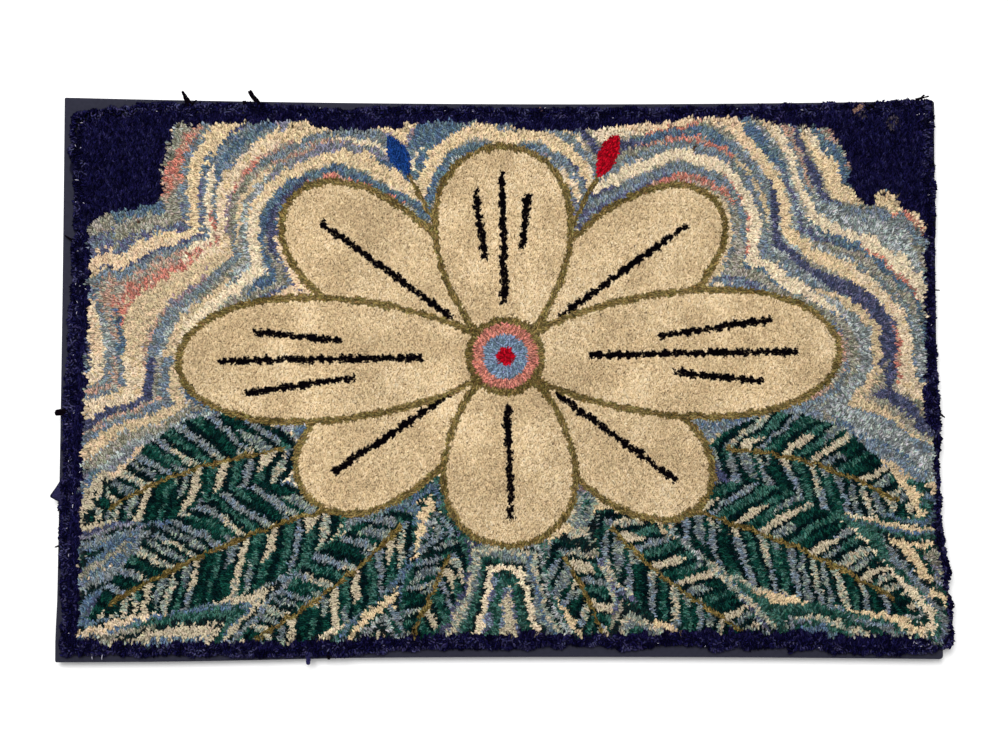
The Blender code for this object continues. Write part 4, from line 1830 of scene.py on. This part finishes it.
@dataclass(frozen=True)
class RimFringe:
    """The shaggy rim: rows of strands that lean out of it at different heights, in clumps."""

    rows: tuple[FringeRow, ...] = (
        FringeRow(7.0, 5.4, -2.8, 6.8),
        FringeRow(6.0, 4.6, -1.5, 5.6),
        FringeRow(6.0, 3.6, -0.7, 4.2),
        FringeRow(6.0, 2.4, -0.9, 2.5),
        FringeRow(6.0, 1.4, -1.6, 0.9),
    )
    pitch: float = 2.6 * MM
    clump: float = 2.3 * MM
    clump_cell: float = 8 * MM
    wander: float = 0.35 * MM
    root_wander: float = 0.5 * MM
    sway: float = 1.2 * MM
    # A tip stands at most the overhang further past the board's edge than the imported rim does, and a rim
    # that is further inside that edge than the safe inset counts as standing there
    overhang: float = 0.5 * MM
    safe: float = 0.9 * MM
    lowest: float = 0.4 * MM
    radius: float = 1.35 * MM
    arch: float = 0.6 * MM
    curl: float = 0.7 * MM
    uneven: float = 0.28
    shade: float = 0.9

    def form(self, rim: Outline, board: Outline, back: float, draw: Random) -> Form:
        """The fringe as strands, which pass the board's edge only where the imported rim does.

        Formula: a strand runs straight from its root to its tip, and the tip is moved in where it would
        stand too far outside the board.

        Args:
            rim: the rug's outline.
            board: the board's outline.
            back: the height of the rug's back.
            draw: the random source.

        Returns:
            The strands' arrays.
        """
        spots, out = rim.walk(self.pitch)
        count = len(spots)
        sideways = np.stack([-out[:, 1], out[:, 0]], axis=1)
        slack = np.minimum(board.inset(*spots.T), self.safe) - self.overhang
        clump = self.clump * patchy(*spots.T, self.clump_cell, Noise.FRINGE_CLUMPS)
        parts = []
        for row in self.rows:
            foot = spots + draw.normal(size=spots.shape) * self.root_wander - out * row.root_inset * MM
            reach = row.tip_reach * MM + clump + self.wander * draw.normal(size=count)
            outside = spots + out * reach[:, None]
            outside += sideways * self.sway * draw.normal(size=(count, 1))
            too_far = np.maximum(slack - board.inset(*outside.T), 0)
            outside -= out * too_far[:, None]
            height = back + row.tip_height * MM + self.wander * draw.normal(size=count)
            root = np.column_stack([foot, np.full(count, back + row.root_height * MM)])
            way = np.column_stack([outside, np.maximum(height, back + self.lowest)]) - root
            length = np.linalg.norm(way, axis=1)
            radius = self.radius * draw.uniform(0.75, 1.2, count)
            arch = self.arch * draw.uniform(0, 1, count)
            curl = self.curl * draw.normal(size=count)
            colour = dyed(faded_navy(*spots.T, draw), draw, self.uneven) * self.shade
            parts.append(strands(root, way / length[:, None], length, radius, arch, curl, colour))
        return all_joined(parts)


@dataclass(frozen=True)
class Lock:
    """A stray lock of yarn that sticks out of the rim. Its sizes are in millimetres.

    Args:
        side: the side it is on.
        place: where along that side, from the board's middle.
        reach: its length outside the rim.
        lean: how far it is turned from straight out, in degrees, anticlockwise.
        rise: how far it is tipped up, in degrees.
        root_width: across its root.
        tip_width: across its tip.
        strands: how many strands it has.
        twist: how many turns they are twisted.
        yarn: what it is of.
        root: its length inside the rim.
        height: of its root over the rug's back.
    """

    side: Side
    place: float
    reach: float
    lean: float
    rise: float
    root_width: float
    tip_width: float
    strands: int = 3
    twist: float = 1.2
    yarn: Yarn = Yarn.BLACK
    root: float = 6.0
    height: float = 4.9
    bend: float = 0.8
    blunt: float = 0.1
    sides: int = 7

    def form(self, rim: Outline, origin: Pair, back: float, draw: Random) -> Form:
        """The lock as tubes.

        Formula: the lock's line runs straight out, with a slight bend. Each strand circles it at a quarter
        of the lock's width, which narrows evenly to the tip, and the last tenth is rounded off.

        Args:
            rim: the rug's outline.
            origin: the board's middle.
            back: the height of the rug's back.
            draw: the random source.

        Returns:
            The lock's arrays.
        """
        run = self.side.run
        spot = np.zeros(3)
        spot[run] = self.place * MM + origin[run]
        spot[1 - run] = rim.edge(self.side, spot[run])
        spot[2] = back + self.height * MM
        lean = math.atan2(self.side.value[1], self.side.value[0]) + math.radians(self.lean)
        rise = math.radians(self.rise)
        flat = np.array([math.cos(lean), math.sin(lean), 0])
        way = flat * math.cos(rise) + np.array([0, 0, math.sin(rise)])
        side = np.array([-flat[1], flat[0], 0])
        lift = np.cross(way, side)
        length = self.root + self.reach
        share = np.linspace(0, 1, 13)[:, None]
        width = (self.root_width + (self.tip_width - self.root_width) * share) * MM
        bend = side * self.bend * MM * draw.normal() * share**2
        line = spot - way * self.root * MM + way * length * MM * share + bend
        blunt = np.sqrt(1 - np.clip((share - 1 + self.blunt) / self.blunt, 0, 0.97) ** 2)
        parts = []
        for strand in range(self.strands):
            turn = math.tau * (strand / self.strands + self.twist * share)
            offset = (side * np.cos(turn) + lift * np.sin(turn)) * width / 4
            colour = dyed(np.array([number(self.yarn)]), draw, 0.1)[0]
            parts.append(tube(line + offset, (width * 0.29 * blunt)[:, 0], self.sides, colour))
        return all_joined(parts)


@dataclass(frozen=True)
class EdgeFold:
    """The loose fold of the rug's turned edge: a thin triangle that lies out over the board's left side.

    Its places are measured from the board's middle.
    """

    root_x: float = -473.3 * MM
    top_y: float = -100.0 * MM
    bottom_y: float = -140.5 * MM
    tip: Pair = (-490.6 * MM, -130.6 * MM)
    thickness: float = 1.2 * MM
    lift: float = 0.4 * MM
    # The share of the width, from its edges, over which the fold is painted darker as painted shade
    edge_shade_share: float = 0.14
    blunt: float = 0.06
    sag: float = 1.2 * MM
    arch: float = 0.9 * MM
    curl: float = 0.8 * MM
    ripple: float = 0.25 * MM

    def form(self, origin: Pair, back: float) -> Form:
        """The fold as a closed sheet.

        Formula: its points run from the root's line to the blunt tip, and across from one edge to the
        other. It arches a little across and curls up at the tip, and is painted darker along its edges, as
        painted shade.

        Args:
            origin: the board's middle.
            back: the height of the rug's back.

        Returns:
            The fold's arrays.
        """
        out, up = np.meshgrid(np.linspace(0, 1, 17), np.linspace(1, 0, 13), indexing="ij")
        root_y = self.bottom_y + (self.top_y - self.bottom_y) * up
        narrow = 1 - (1 - self.blunt) * out
        x = self.root_x + (self.tip[0] - self.root_x) * out
        y = self.tip[1] + (root_y - self.tip[1]) * narrow - self.sag * np.sin(math.pi * out) * up
        arch = self.arch * np.sin(math.pi * up) * (1 - 0.6 * out) + self.curl * out**3
        ripple = self.ripple * np.cos(5 * math.pi * up + 2 * out)
        lower = back + self.lift + arch + ripple
        # Painted shade: the fold's colour darkens towards its edges
        near_edge = np.minimum(np.minimum(up, 1 - up) * narrow * 2, 1 - out)
        light = np.clip(near_edge / self.edge_shade_share, 0.12, 1)
        lilac = 0.75 * YARN_COLOURS[number(Yarn.FADED_NAVY)] + 0.25 * YARN_COLOURS[number(Yarn.NAVY)]
        streaks = 0.75 + 0.5 * np.cos(6 * math.pi * up + 3 * out) ** 2 * 0.6
        colour = (lilac * (light * streaks)[..., None]).reshape(-1, 3)
        sheet = closed_sheet(x + origin[0], y + origin[1], lower, lower + self.thickness, colour)
        flipped = tuple(group[:, ::-1] for group in sheet.faces)
        return Form(sheet.points, flipped, sheet.colours)


@dataclass(frozen=True)
class Stitch:
    """A short white stitch on the border: its middle from the board's, its length and its direction in
    degrees."""

    x: float
    y: float
    length: float
    lean: float
    lift: float = 0.5 * MM
    dip: float = 0.9 * MM

    def form(self, origin: Pair, height: float) -> Form:
        """The stitch as a tube, in an arch that dips into the pile at both ends.

        Args:
            origin: the board's middle.
            height: of the pile round it.

        Returns:
            The stitch's arrays.
        """
        share = np.linspace(-1, 1, 7)
        turn = math.radians(self.lean)
        half = share * self.length / 2 * MM
        x = origin[0] + self.x * MM + half * math.cos(turn)
        y = origin[1] + self.y * MM + half * math.sin(turn)
        z = height + self.lift - self.dip * share**2
        radius = (0.25 + 0.035 * self.length) * MM * (1 - 0.4 * share**2)
        return tube(np.stack([x, y, z], axis=1), radius, 6, reflectance(COTTON.thread))


# Where the white stitches show: each one's place from the board's middle and its length, in millimetres,
# and its lean
STITCHES = tuple(
    Stitch(*row)
    for row in (
        (-461.1, 278.7, 3.4, 5), (-467.3, 253.2, 3.0, -60), (-461.8, 251.0, 2.2, 40),
        (-465.6, 215.5, 4.2, -8), (-466.4, 191.2, 2.0, 35), (-457.6, 190.1, 2.4, -40),
        (-463.4, 137.2, 1.8, 0), (-465.0, 101.0, 2.4, 80), (-460.6, 98.8, 1.8, 10),
        (-454.1, 95.5, 2.8, -35), (-463.1, 81.3, 3.0, -60), (-463.5, 69.2, 3.4, 80),
        (-466.0, 23.3, 1.8, 0), (-465.1, -39.9, 2.0, 30), (-469.7, -92.0, 2.2, 75),
        (-457.6, -103.9, 2.2, 60), (-464.8, -126.6, 2.2, 85), (-464.6, -140.6, 4.6, 82),
        (-470.7, -164.4, 1.8, 15), (-468.1, -193.4, 3.6, 85), (-466.9, -277.1, 1.8, 0),
        (-441.8, -302.8, 5.2, 96), (-431.1, -302.9, 5.8, 84), (169.4, -289.5, 1.8, 0),
        (220.5, -292.9, 2.0, 60), (344.7, -294.8, 1.8, 30), (448.2, -289.2, 3.0, 70),
        (451.0, -290.4, 2.6, -30), (456.2, -293.5, 2.4, 20), (464.5, -291.4, 2.4, 50),
        (-379.2, 291.8, 2.2, 0), (-221.2, 288.4, 2.4, 75), (-200.3, 296.3, 2.0, 30),
        (-62.6, 293.5, 1.8, 10), (-31.7, 293.0, 2.0, 0), (-8.6, 293.1, 1.8, 45), (47.8, 297.2, 2.2, 20),
        (123.0, 286.3, 1.8, 0), (260.6, 296.9, 2.0, 20), (332.9, 296.0, 3.2, -10), (460.9, 290.9, 1.8, 0),
        (463.2, 292.0, 1.8, 60), (468.7, 292.0, 2.0, 20), (475.3, 283.1, 2.2, 30), (472.4, 201.4, 2.6, 10),
        (471.0, 155.7, 1.8, 0), (472.8, 57.1, 2.0, 40),
    )
)


# ---- The rug ----


@dataclass
class HookedRug:
    """The rug: foundation, pile, rim fringe, stray locks, edge fold, worn spot and stitches."""

    form: RugForm
    board: MountingBoard
    pattern: Pattern
    cut: CutTuft = CutTuft()
    shaggy: ShaggyTuft = ShaggyTuft()
    spot: WornSpot = WornSpot()
    fringe: RimFringe = RimFringe()
    fold: EdgeFold = EdgeFold()
    foundation_inset: float = 3.2 * MM
    foundation_cell: float = 5 * MM
    bed_depth: float = 1.7 * MM  # of the foundation's top under the tips
    border_drop: float = 1.3 * MM  # how much lower the border's pile is
    rim_round: float = 7.0 * MM
    rim_drop: float = 1.6 * MM
    cut_margin: float = 2.6 * MM  # how far inside the rim the outermost tufts stand
    shaggy_margin: float = 3.0 * MM
    rim_overlap: float = 2 * MM  # how far the cut pile goes on under the shaggy one
    jitter: float = 0.2  # of the tufts' pitch
    petal_bed_shade: float = 0.8  # how dark the foundation's top is painted, as painted shade, between the petals' tufts and elsewhere
    bed: float = 0.5
    locks: tuple[Lock, ...] = (
        Lock(Side.TOP, -345.8, 13.5, 25, 8, 8.5, 2.6),
        Lock(Side.TOP, -338.6, 3.5, -55, 10, 3.2, 1.4),
        Lock(Side.TOP, -270.0, 15.0, 37, 6, 5.8, 5.0, 3, 0.5),
        Lock(Side.TOP, -282.6, 1.8, 0, 6, 5.6, 4.2),
        Lock(Side.TOP, 464.9, 6.6, -50, 8, 3.2, 2.4, 2, 0.4),
        Lock(Side.TOP, 465.9, 9.4, -73, 8, 3.2, 2.4, 2, 0.4),
        Lock(Side.RIGHT, -42.2, 4.5, -40, 4, 3.8, 1.4),
        Lock(Side.RIGHT, 96.2, 4.0, 0, 4, 2.2, 1.2),
        Lock(Side.BOTTOM, -209.3, 7.2, 3, 0, 6.4, 4.4, 3, 0.6, Yarn.SOFT_NAVY),
        Lock(Side.BOTTOM, -188.0, 1.8, 0, 0, 4.6, 3.0),
        Lock(Side.LEFT, -39.4, 6.6, 0, 6, 9.0, 6.4, 3, 0.3),
        Lock(Side.LEFT, 150.0, 8.0, -24, 6, 3.6, 1.6),
        Lock(Side.LEFT, -183.8, 4.5, 20, 2, 3.6, 1.4),
    )
    seed: int = 5

    def __post_init__(self) -> None:
        """Sets up what all the pieces share."""
        self.draw = np.random.default_rng(self.seed)
        self.wool = WOOL.material()
        self.dark_wool = DARK_WOOL.material()

    def tips(self, x: Array, y: Array) -> Array:
        """The height of the pile's tips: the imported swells, rounded off towards the rim by a parabola."""
        inside = np.clip(self.form.rim.inset(x, y) / self.rim_round, 0, 1)
        return self.form.back + self.form.swell(x, y) - self.rim_drop * (1 - inside) ** 2

    def hooked(self, pitch: float, margin: float) -> tuple[Array, Array, Hooking]:
        """The tufts of one spacing over the whole rug.

        Args:
            pitch: between neighbouring tufts.
            margin: how far inside the rim the outermost stand.

        Returns:
            Their places along X and Y, and what is hooked there.
        """
        ring = self.form.rim.ring
        x, y = hexagonal(ring.min(axis=0), ring.max(axis=0), pitch, self.jitter * pitch, self.draw).T
        from_x, from_y = x - self.board.middle[0], y - self.board.middle[1]
        near = (self.form.rim.inset(x, y) > margin) & ~self.spot.holds(from_x, from_y)
        return x[near], y[near], self.pattern.hook(from_x[near], from_y[near], self.draw)

    def build_foundation(self) -> Piece:
        """The foundation cloth with the pile's dense roots.

        Formula: a grid over the shares of the rug's length and width, as a lower and an upper sheet whose
        rims are joined. The upper one lies a fixed depth under the pile's tips, and is painted in the yarn
        there, darkened as painted shade between the tufts.

        Returns:
            The piece.
        """
        columns = round(self.board.length / self.foundation_cell)
        rows = round(self.board.width / self.foundation_cell)
        across, up = np.meshgrid(np.linspace(0, 1, columns + 1), np.linspace(0, 1, rows + 1), indexing="ij")
        rim, inset = self.form.rim, self.foundation_inset
        low, high = rim.ring.min(axis=0), rim.ring.max(axis=0)
        rough_y = low[1] + (high[1] - low[1]) * up
        left, right = rim.edge(Side.LEFT, rough_y) + inset, rim.edge(Side.RIGHT, rough_y) - inset
        x = left + (right - left) * across
        bottom, top = rim.edge(Side.BOTTOM, x) + inset, rim.edge(Side.TOP, x) - inset
        y = bottom + (top - bottom) * up
        flat_x, flat_y = x.ravel(), y.ravel()
        middle = self.board.middle
        hooking = self.pattern.hook(flat_x - middle[0], flat_y - middle[1], self.draw)
        drop = self.bed_depth + np.where(hooking.region == Region.BORDER, self.border_drop, 0)
        bed = (self.tips(flat_x, flat_y) - drop).reshape(x.shape)
        petal = (hooking.region == Region.PETAL) & IS_PALE[hooking.yarn]
        # Painted shade: the foundation's top takes each place's yarn colour, darkened where it shows between
        # the tufts
        shade = np.where(petal, self.petal_bed_shade, self.bed)[:, None]
        colour = shaded(YARN_COLOURS[hooking.yarn], shade)
        form = closed_sheet(x, y, np.full_like(x, self.form.back), bed, colour)
        made = new_piece("foundation", form, self.wool)
        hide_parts("rug")
        return made

    def by_the_rim(self, x: Array, y: Array, margin: float) -> Mask:
        """Whether points lie in the border's shaggy outer zone, moved in by a margin."""
        zone = self.pattern.rim_zone * (1 + 0.25 * patchy(x, y, 20 * MM, Noise.RIM_ZONE))
        return self.form.rim.inset(x, y) < zone - margin

    def build_pile(self) -> list[Piece]:
        """The pile, a piece for each kind of yarn: cut tufts all over, and shaggy ones in the border's
        outer zone."""
        x, y, hooking = self.hooked(self.cut.pitch, self.cut_margin)
        left = x < self.board.middle[0]
        kind = hooking.region
        lots = [
            (f"pile_{name}_{half}", (kind == region) & here, wool)
            for name, region, wool in (
                ("petals", Region.PETAL, self.wool),
                ("ground", Region.GROUND, self.wool),
                ("leaves", Region.LEAF, self.dark_wool),
            )
            for half, here in (("left", left), ("right", ~left))
        ]
        small = np.isin(kind, [Region.VEIN, Region.HEART, Region.BUD])
        plain_border = (kind == Region.BORDER) & ~self.by_the_rim(x, y, self.rim_overlap)
        lots.append(("pile_outlines", kind == Region.OUTLINE, self.wool))
        lots.append(("pile_veins_and_buds", small, self.dark_wool))
        lots.append(("pile_border", plain_border, self.dark_wool))
        made = [
            self._piled(name, self.cut, x[mask], y[mask], hooking.part(mask), wool)
            for name, mask, wool in lots
        ]
        x, y, hooking = self.hooked(self.shaggy.pitch, self.shaggy_margin)
        coarse = self.by_the_rim(x, y, 0) & (hooking.region == Region.BORDER)
        hooking = hooking.part(coarse)
        plain = np.isin(hooking.yarn, [number(yarn) for yarn in (Yarn.NAVY, Yarn.SOFT_NAVY, Yarn.INK)])
        x, y = x[coarse], y[coarse]
        hooking.yarn = np.where(plain, faded_navy(x, y, self.draw), hooking.yarn)
        made.append(self._piled("pile_border_shag", self.shaggy, x, y, hooking, self.dark_wool))
        return made

    def _piled(
        self, name: str, tuft: CutTuft | ShaggyTuft, x: Array, y: Array, hooking: Hooking, wool: Material
    ) -> Piece:
        """One piece of the pile."""
        drop = np.where(hooking.region == Region.BORDER, self.border_drop, 0)
        form = tuft.form(x, y, self.tips(x, y) - drop, hooking, self.draw)
        return new_piece(name, form, wool)

    def build_rim(self) -> Piece:
        """The shaggy rim."""
        form = self.fringe.form(self.form.rim, self.board.outline, self.form.back, self.draw)
        return new_piece("pile_rim", form, self.dark_wool)

    def build_loose_ends(self) -> list[Piece]:
        """The stray locks, the edge fold, the burlap of the worn spot and the white stitches."""
        rim, middle, back = self.form.rim, self.board.middle, self.form.back
        locks = all_joined([lock.form(rim, middle, back, self.draw) for lock in self.locks])
        places = np.array([(stitch.x, stitch.y) for stitch in STITCHES]) * MM + middle
        heights = self.tips(*places.T) - self.border_drop
        stitches = all_joined([stitch.form(middle, height) for stitch, height in zip(STITCHES, heights)])
        return [
            new_piece("stray_locks", locks, self.dark_wool),
            new_piece("edge_fold", self.fold.form(middle, back), self.dark_wool),
            new_piece("worn_spot", self.spot.form(middle, back), BURLAP.material()),
            new_piece("stitches", stitches, COTTON.material()),
        ]


# ---- The studio ----


@dataclass(frozen=True)
class Lamp:
    """A square soft lamp that points at the rug."""

    name: str
    place: Triple
    side: float
    power: float

    def build(self) -> None:
        """Adds the lamp, turned about X and Z so that it looks at the origin."""
        data = bpy.data.lights.new(self.name, "AREA")
        data.size = self.side
        data.energy = self.power
        made = bpy.data.objects.new(self.name, data)
        made.location = self.place
        x, y, z = self.place
        made.rotation_euler = (math.atan2(math.hypot(x, y), z), 0, math.atan2(-y, -x) - math.pi / 2)
        bpy.context.scene.collection.objects.link(made)


@dataclass(frozen=True)
class Studio:
    """The pale floor, the soft lamps and the camera."""

    lens: float = 51.445
    sensor: float = 36.0
    # The camera, from the board's middle, and its turns about X, Y and Z
    place: Triple = (-24.56 * MM, -83.7 * MM, 1600.0 * MM)
    turns: Triple = (2.992, -0.980, 0.025)
    floor_size: float = 8.0
    sky: float = 0.52
    lamps: tuple[Lamp, ...] = (Lamp("key", (-0.30, 0.62, 2.4), 1.0, 62.0),)

    def build(self, middle: Pair) -> None:
        """Makes the floor, the lamps, the sky and the camera round the board's middle."""
        bpy.ops.mesh.primitive_plane_add(size=self.floor_size)
        floor = bpy.context.object
        floor.name = "floor"
        floor.data.materials.append(FloorFinish().material())
        world = bpy.data.worlds.new("soft sky")
        world.use_nodes = True
        background = world.node_tree.nodes["Background"]
        feed(world.node_tree, background, Color=(1, 1, 1, 1), Strength=self.sky)
        bpy.context.scene.world = world
        for lamp in self.lamps:
            lamp.build()
        data = bpy.data.cameras.new("camera")
        data.lens = self.lens
        data.sensor_width = self.sensor
        camera = bpy.data.objects.new("camera", data)
        camera.rotation_mode = "ZYX"
        camera.location = (self.place[0] + middle[0], self.place[1] + middle[1], self.place[2])
        camera.rotation_euler = tuple(math.radians(turn) for turn in self.turns)
        bpy.context.scene.collection.objects.link(camera)
        bpy.context.scene.camera = camera
        bpy.context.scene.view_settings.view_transform = "Standard"


def main() -> None:
    """Builds the rug on its board, and the studio round it."""
    logging.basicConfig(level=logging.INFO, format="%(name)s: %(message)s")
    board = MountingBoard()
    board.dress()
    rug = HookedRug(RugForm.packed(), board, Pattern(board))
    foundation = rug.build_foundation()
    others = rug.build_pile()
    others.append(rug.build_rim())
    others += rug.build_loose_ends()
    Studio().build(board.middle)


if __name__ == "__main__":
    main()
